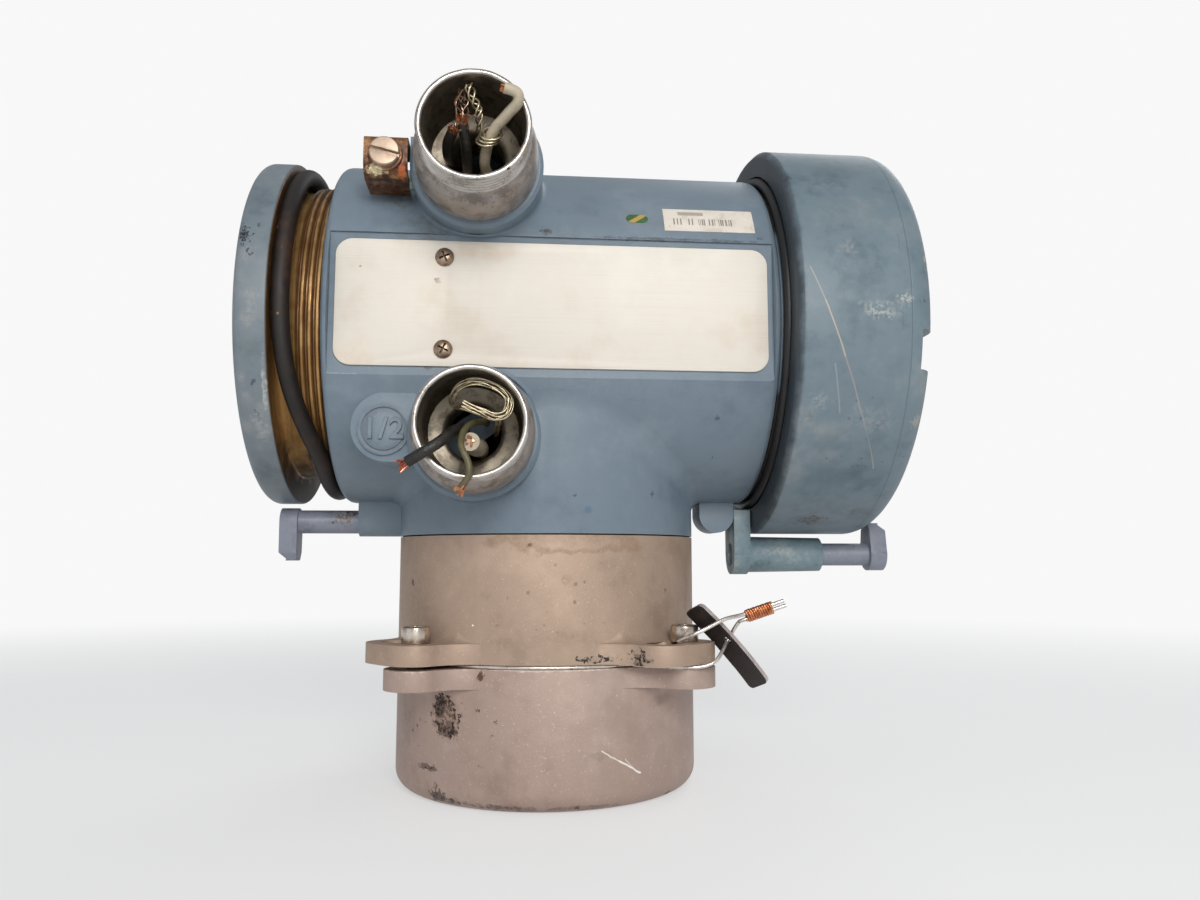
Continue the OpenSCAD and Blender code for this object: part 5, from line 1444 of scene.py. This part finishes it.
@dataclass
class NameplateSet:
    """The nameplate with its screws, and the two stuck-on labels."""

    screws_x: float = -33.0
    screws_z: tuple[float, float] = (162.1, 134.3)
    face_y: float = -53.2
    head_r: float = 2.8
    head_high: float = 1.5
    recess: Point = (0.62, 3.4, 1.25)
    recess_shade_r: float = math.sqrt(3.2)

    def screw_heads(self) -> Piece:
        """Makes the domed heads with their cross recess.

        Returns:
            Both heads, joined.
        """
        wide, long, deep = self.recess
        heads = []
        for number, z in enumerate(self.screws_z):
            axis = Axis((self.screws_x, self.face_y, z), (0, -1, 0), (1, 0, 0))
            dome = [(0.0, -0.6), (self.head_r - 0.1, -0.6), (self.head_r, 0.25)]
            for k in range(1, 8):
                a = math.radians(90 * k / 7)
                dome.append((self.head_r * math.cos(a), 0.25 + (self.head_high - 0.25) * math.sin(a)))
            head = turned("head", axis, dome, 64)
            for turn in (24 + 40 * number, 114 + 40 * number):
                c, s = math.cos(math.radians(turn)), math.sin(math.radians(turn))
                corners = [(side * long / 2, up * wide / 2) for side, up in ((-1, -1), (1, -1), (1, 1), (-1, 1))]
                slot = prism("slot", corners, (self.screws_x, self.face_y - self.head_high + deep, z), (c, 0, s),
                             (-s, 0, c), 3.0)
                cut_away(head, slot)
            heads.append(head)
        return joined("nameplate_screw_heads", heads)

    def build(self) -> None:
        """Builds and dresses the plate and the labels."""
        dress(softened("nameplate", 0.15, 2), NAMEPLATE)
        heads = dress(self.screw_heads(), PLATE_SCREW, node="nameplate_screws")
        # The faces deep in the cross recesses take the black rubber material as painted shade.
        heads.data.materials.append(RUBBER.build())
        for face in heads.data.polygons:
            x, y, z = face.center * TO_MM
            near = any((x - self.screws_x) ** 2 + (z - high) ** 2 < self.recess_shade_r ** 2 for high in self.screws_z)
            if near and y > self.face_y - self.head_high + 0.55:
                face.material_index = 1
        dress_packed(LABEL, "paper", "stock_label")
        dress_packed(STICKER, "sticker", "inspection_sticker")


@dataclass
class ConduitFitting:
    """A galvanised conduit fitting, threaded outside at its mouth."""

    node: str
    boss_y: float
    axis_z: float
    finish: Finish
    axis_x: float = -23.6
    length: float = 26.0
    thread_r: float = 15.7
    thread_depth: float = 0.75
    pitch: float = 1.81
    collar_r: float = 17.8
    bore_r: float = 14.0

    def build(self) -> None:
        """Builds and dresses the fitting."""
        axis = Axis((self.axis_x, -self.boss_y, self.axis_z), (0, -1, 0), (1, 0, 0))
        mouth, crest, start, collar, bore = self.length, self.thread_r, 15.2, self.collar_r, self.bore_r
        profile: list[Pair] = [(8.0, -13.0), (9.7, -13.0), (10.5, -12.0), (10.5, 0.0), (17.2, 0.0), (17.6, 0.15),
                               (collar, 0.6), (collar, 5.0), (collar - 0.12, 9.0)]
        for a in [math.radians(9 * k) for k in range(1, 7)]:
            profile.append((collar - 4 + 4 * math.cos(a) - 0.12, 9.0 + 5.2 * math.sin(a)))
        profile.append((crest - 0.85, start - 0.3))
        first, rows = len(profile), 62
        profile += [(crest, start + (mouth - 0.7 - start) * k / rows) for k in range(rows + 1)]
        last = len(profile) - 1
        profile += [(crest - 0.15, mouth - 0.35), (crest - 0.4, mouth - 0.1), (crest - 0.75, mouth),
                    (bore + 0.7, mouth), (bore + 0.3, mouth - 0.1), (bore + 0.08, mouth - 0.35), (bore, mouth - 0.9),
                    (bore, mouth - 6), (bore, 7.2), (bore - 0.4, 6.6), (bore - 0.4, 4.6), (bore - 1.0, 3.6),
                    (10.9, 3.0), (9.4, 2.9), (8.5, 2.5), (8.0, 1.8), (8.0, -13.0)]

        def ripple(angle: float, height: float, number: int) -> float:
            """Gives the thread's form, cut into the crest, and the rim's small nicks."""
            if first <= number <= last:
                flank = abs((height / self.pitch - angle / TURN) % 1.0 * 2 - 1)
                cut = min(1.0, max(0.0, (flank - 0.16) / 0.62))
                fade = min(1.0, (mouth - 0.5 - height) / 0.9, (height - start + 0.6) / 1.2)
                return -self.thread_depth * cut * max(0.0, fade)
            if number > last and height > mouth - 1.0:
                return 0.05 * math.sin(11 * angle) * math.sin(5 * angle + 1.0)
            return 0.0

        piece = turned(self.node + "_threaded", axis, profile, 144, ripple, 42)
        dress(piece, self.finish, node=self.node)


@dataclass
class GroundTerminal:
    """The tarnished saddle of the ground terminal and its slotted screw."""

    x: float = -50.0
    z: float = 189.6
    front: float = 61.5
    back: float = 46.0
    half_wide: float = 6.3
    half_high: float = 6.1
    thick: float = 1.6

    def outline(self) -> list[tuple[float, float]]:
        """Gives the bent strip's outline: how far forward, and how high."""
        f, h, t, back = self.front, self.half_high, self.thick, self.back
        return [(back, h), *arc(f - 2.0, h - 2.0, 2.0, 90, 0, 5), *arc(f - 4.6, -h + 4.6, 4.6, 0, -90, 8), (back, -h),
                (back, -h + t), *arc(f - 4.6, -h + 4.6, 4.6 - t, -90, 0, 8),
                *arc(f - 2.0, h - 2.0, 2.0 - t, 0, 90, 3),
                (back, h - t)]

    def build(self) -> None:
        """Builds and dresses the saddle and the screw."""
        saddle = prism("ground_saddle", self.outline(), (self.x + self.half_wide, 0, self.z), (0, -1, 0), (0, 0, 1),
                       2 * self.half_wide, 0.3)
        dress(saddle, BRASS_SADDLE, node="ground_clamp")
        dress(softened("ground_screw", 0.22, 2), BRIGHT_SCREW)
        washer = turned("ground_spring_washer", Axis((self.x, -self.front - 0.02, self.z), (0, -1, 0), (1, 0, 0)),
                        [(2.7, 0.0), (4.9, 0.0), (5.05, 0.2), (5.0, 0.75), (4.7, 0.9), (2.7, 0.9), (2.7, 0.0)], 64)
        dress(washer, BRASS_SADDLE)


@dataclass
class WiringCover:
    """The part unscrewed cover of the wiring end, with its thread, and the loose ring on it."""

    axis_z: float
    face_x: float = -93.1
    seat_x: float = -83.0
    flange_r: float = 57.4
    relief_r: float = 48.4
    crest_r: float = 50.0
    root_r: float = 48.75
    pitch: float = 2.3
    thread_from: float = -76.7
    thread_to: float = -56.9
    ring_r: float = 53.3
    ring_section: float = 2.65
    ring_near: float = -80.3
    ring_far: float = -71.4

    def bent_ring(self) -> Piece:
        """Bends the loose ring: it hugs the flange over the top and crosses to the barrel's end low in front.

        Returns:
            The ring.
        """
        def ease(share: float) -> float:
            """Gives a smooth step from 0 to 1."""
            share = min(1.0, max(0.0, share))
            return share * share * (3 - 2 * share)

        around, sides = 180, 18
        points: Line = []
        for i in range(around):
            turn = 360 * i / around
            crossed = ease(min(1.0, max(0.0, (turn - 70) / 82)) ** 2) - ease((turn - 205) / 95)
            x = self.ring_near + (self.ring_far - self.ring_near) * crossed
            a = math.radians(turn)
            for k in range(sides):
                b = TURN * k / sides
                r = self.ring_r + self.ring_section * math.cos(b)
                points.append(Vector((x + self.ring_section * math.sin(b), -r * math.sin(a),
                                      self.axis_z + r * math.cos(a))))
        return new_mesh("loose_ring_bent", points, strip_faces(around, sides, True, turned_over=True), 60)

    def build(self) -> None:
        """Builds and dresses the cover and the ring."""
        axis = Axis((0, 0, self.axis_z), (1, 0, 0), (0, -1, 0))
        edge, back = 3.0, 1.0
        profile: list[Pair] = [(0.0, self.face_x), (30.0, self.face_x), (50.0, self.face_x)]
        profile += arc(self.flange_r - edge, self.face_x + edge, edge, -90, 0, 8)
        profile += arc(self.flange_r - back, self.seat_x - back, back, 0, 90, 4)
        profile += [(self.crest_r + 0.8, self.seat_x), (self.relief_r + 0.5, self.seat_x),
                    (self.relief_r, self.seat_x + 0.5), (self.relief_r, self.thread_from - 1.3),
                    (self.relief_r + 0.3, self.thread_from - 0.7)]
        first, rows, run = len(profile), 150, self.thread_to - self.thread_from
        profile += [(self.crest_r, self.thread_from + run * k / rows) for k in range(rows + 1)]
        last = len(profile) - 1
        profile += [(self.root_r, -56.3), (self.root_r - 0.5, -56.0), (44.0, -56.0), (44.0, -83.1), (42.0, -85.1),
                    (0.0, -85.1)]

        def ripple(angle: float, height: float, number: int) -> float:
            """Gives the thread's form, cut into the crest."""
            if not first <= number <= last:
                return 0.0
            phase = (height / self.pitch + angle / TURN) % 1.0
            cut = min(1.0, max(0.0, (abs(phase * 2 - 1) - 0.30) / 0.52))
            fade = min(1.0, max(0.0, (height - self.thread_from) / 0.5))
            lead = (self.crest_r - self.root_r) * (1 - fade)
            return -max((self.crest_r - self.root_r) * cut, lead)

        cover = turned("wiring_cover_threaded", axis, profile, 240, ripple, 40)
        for side in (-1, 1):
            pin = turned("pin", Axis((self.face_x - 1, side * 32, self.axis_z), (1, 0, 0), (0, 1, 0)),
                         [(0.0, 0.0), (4.0, 0.0), (4.0, 5.0), (0.0, 5.0)], 40)
            cut_away(cover, pin)
        dress(cover, WIRING_COVER, Body.WIRING_COVER, "wiring_cover")
        dress(self.bent_ring(), LOOSE_RING, Body.LOOSE_RING, "wiring_cover_o_ring")


@dataclass
class DisplayCover:
    """The cover over the display, with its window."""

    def build(self) -> None:
        """Builds and dresses the cover and what it holds."""
        dress(softened("display_cover", 0.6, 3), COVER_BLUE, Body.DISPLAY_COVER)
        dress_packed(RUBBER, "rubber", "display_cover_o_ring", "window_gasket")
        dress_packed(STEEL_SCREW, "steel", "window_ring")
        self.glaze(bpy.data.objects["display_window"])

    @staticmethod
    def glaze(window: Piece) -> None:
        """Gives the window clear glass with a few rub marks.

        Args:
            window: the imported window.
        """
        material, net = new_material("clear_window_glass")
        rub = net.rise(net.noise(net.place(), 0.08, 4.0, 0.6), 0.52, 0.7)
        shader = net.add("ShaderNodeBsdfPrincipled", Base_Color=net.mix(rub, (226, 238, 238), (210, 222, 222)),
                         Roughness=net.plus(net.times(rub, 0.1), 0.02), IOR=1.5, Transmission_Weight=1.0)
        net.add("ShaderNodeOutputMaterial", Surface=shader.outputs[0])
        paint(window, material)
        LOG.info("display_window: clear glass")


@dataclass
class CoverLocks:
    """The two tongue-headed lock screws, the bracket and its screw."""

    head_deep: float = 6.0
    head_share: float = 0.78

    def build(self) -> None:
        """Builds and dresses the locks."""
        for node, body, way in (("wiring_cover_lock_screw", Body.WIRING_LOCK, 1),
                                ("display_cover_lock_screw", Body.DISPLAY_LOCK, -1)):
            screw = softened(node, 0.5, 3)
            outer = min(v.co.x * way for v in screw.data.vertices) * way
            for v in screw.data.vertices:
                depth = abs(outer - v.co.x)
                if depth < self.head_deep * MM:
                    v.co.x += (self.head_deep * MM - depth) * (1 - self.head_share) * way
            dress(screw, LOCK_LAVENDER, body)
        dress(softened("display_lock_bracket", 0.5, 2), BRACKET_BLUE)
        dress_packed(STEEL_SCREW, "steel", "bracket_screw")


@dataclass
class CoreStack:
    """The core housing, its end cap, their screws and their rings."""

    wall_r: float = 49.6
    ear_ring_r: float = 57.0
    tip_r: float = 9.2
    fillet_r: float = 14.0
    ear_top: float = 48.2
    ear_bottom: float = 35.0
    fairing_r: float = 4.2

    def ear_reach(self, off: float) -> float:
        """Gives how far the ear's edge lies from the axis, at an angle off the ear's middle.

        Args:
            off: the angle in radians.

        Returns:
            The distance in millimetres.
        """
        far = self.wall_r + self.fillet_r
        tip_far = self.tip_r + self.fillet_r
        swing = math.acos((far ** 2 + self.ear_ring_r ** 2 - tip_far ** 2) / (2 * far * self.ear_ring_r))
        off = abs(off)
        if off < math.asin(self.tip_r / self.ear_ring_r) * 0.96:
            return self.ear_ring_r * math.cos(off) + math.sqrt(self.tip_r ** 2 - (self.ear_ring_r * math.sin(off)) ** 2)
        if off >= swing:
            return self.wall_r
        return far * math.cos(swing - off) - math.sqrt(max(0.0,
                                                           self.fillet_r ** 2 - (far * math.sin(swing - off)) ** 2))

    def ear_fairings(self, name: str, level: float, way: int, drawn: float) -> Piece:
        """Fills the corner between the wall and the four ears' outer faces.

        Args:
            name: the piece's name.
            level: height of the ears' outer faces.
            way: 1 for fairings that rise above the ears, -1 for ones that hang below.
            drawn: angle in degrees over which each ear is drawn out to its right.

        Returns:
            The fairings, in one piece.
        """
        steps, across, half = 56, 8, math.radians(21.0)
        draw = math.radians(drawn)
        points: Line = []
        faces: list[Face] = []
        for middle in (45, 135, 225, 315):
            faces += strip_faces(steps + 1, across + 2, False, len(points))
            for i in range(steps + 1):
                off = -half - draw + (2 * half + draw) * i / steps
                near = off + draw if off < -draw else (0.0 if off < 0 else off)
                r = max(0.02, min(self.fairing_r, (self.ear_reach(near) - self.wall_r) * 0.85))
                a = math.radians(middle) + off
                for k in range(across + 1):
                    b = math.pi / 2 * k / across
                    radius, rise = self.wall_r + r - r * math.cos(b), r - r * math.sin(b)
                    points.append(Vector((radius * math.cos(a), radius * math.sin(a), level + way * rise)))
                inner = self.wall_r - 1.0
                points.append(Vector((inner * math.cos(a), inner * math.sin(a), level - way * 1.0)))
        return new_mesh(name, points, faces, 40)

    def build(self) -> None:
        """Builds and dresses the stack."""
        dress(softened("core_housing", 0.9, 3), CAST_GREY)
        dress(softened("end_cap", 0.9, 3), CAP_GREY)
        dress(self.ear_fairings("core_ear_fairings", self.ear_top, 1, 10.0), CAST_GREY)
        dress(self.ear_fairings("cap_ear_fairings", self.ear_bottom, -1, 0.0), CAP_GREY)
        dress(softened("cap_screws", 0.25, 2), STEEL_SCREW)
        dress_packed(RUBBER, "rubber", "neck_o_ring", "flange_o_ring")


@dataclass
class WireSeal:
    """The seal: a wire round the flange gap, a twisted copper sleeve and a black tag."""

    neck_r: float = 49.6
    gap_z: float = 41.6
    ear_top: float = 48.2
    crimp_at: Point = (57.6, -48.4, 56.1)
    crimp_rise: float = 18.0
    crimp_length: float = 8.2
    crimp_turns: float = 5.5
    wire_r: float = 0.58
    wire_pitch: float = 0.8
    tag_at: Point = (54.2, -48.0, 48.4)
    tag_dip: float = 48.6
    tag_lean: float = -29.0
    tag_bow: float = 0.9
    tag_size: Point = (30.5, 9.0, 1.2)

    def crimp_point(self, side: float, along: float) -> Point:
        """Gives a point in the sleeve, on one of its two wires."""
        a = math.radians(self.crimp_rise)
        p = (Vector(self.crimp_at) + Vector((math.cos(a), 0, math.sin(a))) * along
             + Vector((-math.sin(a), -0.4, math.cos(a))) * (side * self.wire_pitch))
        return tuple(p)

    def build(self) -> None:
        """Builds and dresses the seal."""
        loop = [(x, y, self.gap_z) for x, y in arc(0.0, 0.0, self.neck_r - 0.7, -300, -62, 26)]
        g, top = self.gap_z, self.ear_top
        first = spline_route(loop + [(28.5, -46.5, g), (36, -49.5, g), (43, -50.4, g), (47.4, -50.2, g + 1.4),
                                     (50, -48.4, 45.6), (52.2, -45.6, 48.4), (54, -45.6, 51.4), (55.6, -47, 54.2),
                                     self.crimp_point(-1, -0.4), self.crimp_point(-1, 12.6)], 5)
        second = spline_route([(36.8, -49.2, top + 0.65), (39.5, -51, top + 2.2), (44, -51.6, 52.4),
                               (50.6, -50.6, 55.4), self.crimp_point(1, -0.4), self.crimp_point(1, 12.2)], 6)
        wire = cord_mesh("seal_wire_drawn", [first, second], self.wire_r, 12)
        dress(wire, SEAL_WIRE, node="seal_wire")
        self.sleeve()
        self.tag()

    def sleeve(self) -> None:
        """Winds the copper sleeve round both wires."""
        a = math.radians(self.crimp_rise)
        along = Vector((math.cos(a), 0, math.sin(a)))
        side = Vector((-math.sin(a), -0.4, math.cos(a))).normalized()
        other = along.cross(side)
        lines = []
        for strand in range(2):
            line = []
            for t in [i / 220 for i in range(221)]:
                angle = TURN * self.crimp_turns * t + strand * math.pi
                wave = 1 + 0.07 * math.sin(7 * angle + strand)
                line.append(Vector(self.crimp_at) + along * (self.crimp_length * t)
                            + side * (1.62 * wave * math.cos(angle)) + other * (1.08 * wave * math.sin(angle)))
            lines.append(line)
        dress(cord_mesh("seal_copper_sleeve", lines, 0.42, 8), COPPER, node="seal_crimp")

    def tag(self) -> None:
        """Cuts the tag with its rounded corners and its bright worn edge."""
        long, wide, thick = self.tag_size
        place = (Matrix.Translation(Vector(self.tag_at)) @ Matrix.Rotation(math.radians(self.tag_dip), 4, "Y")
                 @ Matrix.Rotation(math.radians(self.tag_lean), 4, "X"))
        back = place.inverted()
        across, up, normal = (place.to_3x3() @ Vector(way) for way in ((1, 0, 0), (0, 1, 0), (0, 0, 1)))
        r = 1.6
        outline = []
        for cx, cy, a0 in ((long / 2 - r, wide - r, 0), (-long / 2 + r, wide - r, 90), (-long / 2 + r, r, 180),
                           (long / 2 - r, r, 270)):
            outline += arc(cx, cy, r, a0, a0 + 90, 5)
            if a0 in (0, 180):
                run = (long / 2 - r) * (1 if a0 == 0 else -1)
                outline += [(run * (1 - 2 * k / 14), outline[-1][1]) for k in range(1, 14)]
        piece = prism("seal_tag_moulded", outline, place @ Vector((0, 0, -thick / 2)), across, up, thick, 0.18)
        cut_away(piece, turned("hole", Axis(place @ Vector((-1.5, 3, -2)), normal, across),
                               [(0.0, 0.0), (1.3, 0.0), (1.3, 4.0), (0.0, 4.0)], 32))
        for v in piece.data.vertices:
            local = back @ (v.co * TO_MM)
            local.z += self.tag_bow * (1 - (2 * local.x / long) ** 2)
            v.co = (place @ local) * MM
        dress(piece, TAG, node="seal_tag")
        piece.data.materials.append(TAG_EDGE.build())
        for face in piece.data.polygons:
            if abs(face.normal.dot(normal)) < 0.75 and (back @ (face.center * TO_MM)).y < 1.0:
                face.material_index = 1


@dataclass
class CutWires:
    """The cut conductors in the two conduit fittings, their routes measured from the fittings' seats."""

    upper_seat: Point = (-23.6, -60.4, 188.6)
    lower_seat: Point = (-23.6, -52.7, 109.4)
    wire_r: float = 1.5

    def copper_end(self, name: str, line: Sequence[Vector], reach: float, count: int, radius: float, seed: int,
                   finish: Finish = COPPER, splay: float = 0.7, curl: float = 0.3) -> None:
        """Adds the bared strands at a wire's cut end.

        Args:
            name: the piece's name.
            line: the wire's centre line, ending at the cut.
            reach: how far the strands stand out.
            count: number of strands.
            radius: radius of one strand.
            seed: seed of their irregularities.
            finish: their finish.
            splay: how far they open.
            curl: how far they bend away.
        """
        rng = random.Random(seed)
        way = (line[-1] - line[-4]).normalized()
        side = way.orthogonal().normalized()
        other = way.cross(side)
        lines = []
        for n in range(count):
            a = TURN * n / count + rng.uniform(-0.3, 0.3)
            base = rng.uniform(0.25, 0.75) * self.wire_r
            out = side * math.cos(a) + other * math.sin(a)
            bend = side * rng.uniform(-1, 1) + other * rng.uniform(-1, 1)
            far = reach * rng.uniform(0.65, 1.1)
            lines.append([line[-1] + way * (-1.2 + (far + 1.2) * t) + out * (base * (1 + splay * t * t))
                          + bend * (curl * t * t * far) for t in [i / 8 for i in range(9)]])
        dress(cord_mesh(name, lines, radius, 7), finish)

    @staticmethod
    def insulated(name: str, node: str, seat: Point, routes: Sequence[Sequence[Point]], radius: float, finish: Finish,
                  slot: str) -> list[Line]:
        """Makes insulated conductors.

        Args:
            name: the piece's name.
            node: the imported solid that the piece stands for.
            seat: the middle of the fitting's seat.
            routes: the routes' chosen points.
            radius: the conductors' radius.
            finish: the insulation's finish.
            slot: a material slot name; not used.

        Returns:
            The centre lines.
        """
        lines = [[Vector(seat) + p for p in spline_route(r, 6)] for r in routes]
        dress(cord_mesh(name, lines, radius, 18), finish, node=node)
        return lines

    @staticmethod
    def bare(name: str, node: str, seat: Point, route: Sequence[Point], count: int, radius: float, spread: float,
             turns: float, seed: int, splay: float = 0.0) -> None:
        """Makes a bundle of bare tinned strands.

        Args:
            name: the piece's name.
            node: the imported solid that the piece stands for.
            seat: the middle of the fitting's seat.
            route: the route's chosen points.
            count: number of strands.
            radius: radius of one strand.
            spread: their distance from the centre line.
            turns: turns of lay.
            seed: seed of their irregularities.
            splay: how far they open at the end.
        """
        line = [Vector(seat) + p for p in spline_route(route, 6)]
        piece = cord_mesh(name, strands(line, count, spread, turns, seed, splay), radius, 8)
        dress(piece, TINNED, node=node)

    def upper(self) -> None:
        """Builds the conductors in the upper fitting."""
        white = self.insulated(
            "upper_white_conductor", "upper_white_wire", self.upper_seat,
            [[(0.6, 54.4, -12.3), (0.6, 53.4, -9.6), (1.2, 48.4, -5.6), (3.1, 38.4, -4), (4.1, 24.4, -3.8),
              (4.1, 8.4, -3.8), (3.1, -3.6, -4.6), (2.6, -11.6, -4.1), (4.6, -18.6, 0.4), (8.8, -23.6, 3.8),
              (11.6, -27.2, 5.6),
              (11.4, -29.2, 7.4), (8, -30, 8.3)]], self.wire_r, WHITE_WIRE, "wire_white")
        self.copper_end("upper_white_copper", white[0], 0.9, 9, 0.3, 5, COPPER, 0.3, 0.2)
        black = self.insulated(
            "upper_black_conductors", "upper_black_wires", self.upper_seat,
            [[(-6.4, 56.4, -12.3), (-6.4, 55.4, -9.6), (-5.6, 49.4, -5.6), (-4.2, 40.4, -4.1), (-3.6, 24.4, -4),
              (-3, 8.4, -4.2), (-2.4, -3.6, -5.2), (-2.4, -10.6, -4.2), (-2.6, -15.6, -0.6), (-3.4, -19.1, 2.9)],
             [(-6.4, 64.4, -12.3), (-6.4, 63.8, -9.6), (-5.8, 56.4, -3.6), (-4, 46.4, 0), (-2.4, 26.4, 1),
              (-2.9, 8.4, 0.8), (-5, -1.6, -1.2), (-7.4, -9.6, -3), (-7.6, -14.6, -1.2), (-6, -18.1, 1)]],
            self.wire_r, BLACK_WIRE, "wire_black")
        self.copper_end("upper_black_copper", black[0], 2.6, 9, 0.28, 8, COPPER, 0.9, 0.25)
        self.copper_end("upper_black_copper_bright", black[1], 1.6, 8, 0.3, 11, COPPER, 0.5, 0.25)
        self.bare("upper_tinned_strands", "upper_drain_wires", self.upper_seat,
                  [(5.6, 64.4, -12.3), (5.6, 63.8, -9.6), (4.2, 56.4, -2.2), (1.6, 44.4, 3.4), (0.6, 20.4, 4.4),
                   (1, 4.4, 4), (1.2, -5.6, 2.2), (1, -13.6, 2), (1.2, -18.6, 5), (0.2, -20.6, 8.4),
                   (-2, -21.6, 12.8)],
                  3, 0.3, 0.34, 7, 3, 1.0)
        coil = []
        for t in [i / 39 for i in range(40)]:
            a = TURN * (0.2 + 3.4 * t)
            axis = Vector((3.0, -16.8, -1.2)).lerp(Vector((5.0, -19.2, 0.8)), t)
            coil.append(Vector(self.upper_seat) + axis + Vector((math.cos(a), 0.45 * math.sin(a),
                                                                 0.75 * math.sin(a))) * 2.8)
        dress(cord_mesh("upper_wrapped_strand", [coil], 0.36, 8), TINNED)
        rng = random.Random(17)
        stray: list[Line] = []
        for start, away in ((black[0][-1], (0.4, -2.0, 9.5)), (black[1][-1], (2.6, -2.4, 10.5)),
                            (black[1][-1], (5.6, -3.0, 4.0))):
            for _ in range(3):
                route = [tuple(start)]
                for k in range(1, 5):
                    loose = Vector((rng.uniform(-1.5, 1.5), rng.uniform(-0.8, 0.8), rng.uniform(-1.1, 1.1)))
                    route.append(tuple(start + Vector(away) * (k / 4) + loose))
                stray.append(spline_route(route, 7))
        dress(cord_mesh("upper_stray_strands", stray, 0.2, 6), STRAY)

    def lower(self) -> None:
        """Builds the conductors in the lower fitting."""
        white = self.insulated(
            "lower_white_conductor", "lower_white_wire", self.lower_seat,
            [[(-0.4, 50.7, 12.3), (-0.4, 50.1, 9.6), (0, 44.7, 3.6), (1, 34.7, -0.6), (1.4, 22.7, -2),
              (1.6, 8.7, -3.8), (1.6, -1.3, -4.2), (1.4, -9.3, -5.2), (0.8, -17.3, -5.8), (0, -23.8, -5.2)]],
            2.55, WHITE_WIRE, "wire_white")
        self.copper_end("lower_white_copper", white[0], 0.8, 7, 0.34, 21, COPPER, 0.2, 0.2)
        black = self.insulated(
            "lower_black_conductor", "lower_black_wire", self.lower_seat,
            [[(-6.4, 42.7, 12.3), (-6.4, 41.7, 9.6), (-5.2, 34.7, 4.4), (-3.4, 24.7, 3), (-3, 0.7, 1.6),
              (-2.8, -9.3, -0.4), (-2.8, -17.3, -1), (-4.4, -24.3, -2.4), (-7.6, -28.9, -5.8), (-11.4, -29.9, -8.5),
              (-16, -28.3, -11.2)]],
            self.wire_r, BLACK_WIRE, "wire_black")
        self.copper_end("lower_black_copper", black[0], 3.0, 11, 0.26, 31, RED_COPPER, 0.6, 0.35)
        olive = self.insulated(
            "lower_olive_conductor", "lower_olive_wire", self.lower_seat,
            [[(5.6, 42.7, 12.3), (5.6, 41.7, 9.6), (4.2, 34.7, 5.6), (3.2, 24.7, 4.8), (3.6, -1.3, 3.6),
              (2.6, -11.3, 2), (0.2, -19.3, 0.4), (-1.8, -24.9, -2.6), (-2.2, -28.3, -6.8), (-0.2, -29.5, -11.4),
              (-0.2, -29.5, -15), (-2.2, -28.9, -18)]],
            0.9, OLIVE_WIRE, "wire_olive")
        self.copper_end("lower_olive_copper", olive[0], 1.6, 6, 0.26, 41, COPPER, 0.6, 0.5)
        self.bare("lower_tinned_strands", "lower_drain_wires", self.lower_seat,
                  [(5.6, 51.7, 12.3), (5.6, 51.1, 9.6), (5.6, 44.7, 3.6), (6.2, 32.7, 0.4), (6.6, -1.3, 0.4),
                   (6.6, -7.3, 4.2), (0.6, -11.3, 5.6), (-5.4, -16.3, 6.2), (-3.8, -19.3, 10), (0.6, -20.3, 11.8),
                   (5.8, -20.9, 10.6), (10, -21.3, 7.2), (9.4, -21.7, 3), (6.2, -22.1, 1.8), (2.2, -22.5, 3.2),
                   (-2.4, -22.7, 5)],
                  6, 0.2, 0.62, 1.1, 9, 0.5)

    def build(self) -> None:
        """Builds all the conductors."""
        self.upper()
        self.lower()


@dataclass
class Electronics:
    """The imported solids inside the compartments, which keep their shapes."""

    finishes: tuple[tuple[Finish, str, tuple[str, ...]], ...] = (
        (DARK_PLASTIC, "dark_plastic", ("display_module", "compartment_feedthrough", "power_terminals", "core_lead")),
        (PANEL, "lcd", ("display_lcd",)),
        (BOARD, "board", ("processor_board", "power_board", "core_connector")),
        (GREY_PLASTIC, "grey_plastic", ("signal_terminals", "core_processor")),
        (STEEL_SCREW, "steel",
         ("display_screws", "board_spacers", "terminal_screws", "core_processor_screws", "neck_screws")),
    )

    def build(self) -> None:
        """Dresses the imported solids."""
        for finish, slot, nodes in self.finishes:
            dress_packed(finish, slot, *nodes)


def main() -> None:
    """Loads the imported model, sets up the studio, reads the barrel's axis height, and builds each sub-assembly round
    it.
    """
    logging.basicConfig(level=logging.INFO, format="%(name)s %(message)s")
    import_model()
    Studio().build()
    low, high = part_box("display_cover")
    axis_z = (low.z + high.z) / 2 * TO_MM
    CutWires().build()
    BarrelHousing(axis_z).build()
    NameplateSet().build()
    ConduitFitting("upper_conduit_fitting", 60.4, 188.6, UPPER_ZINC).build()
    ConduitFitting("lower_conduit_fitting", 52.7, 109.4, LOWER_ZINC).build()
    GroundTerminal().build()
    WiringCover(axis_z).build()
    DisplayCover().build()
    CoverLocks().build()
    CoreStack().build()
    WireSeal().build()
    Electronics().build()


if __name__ == "__main__":
    main()
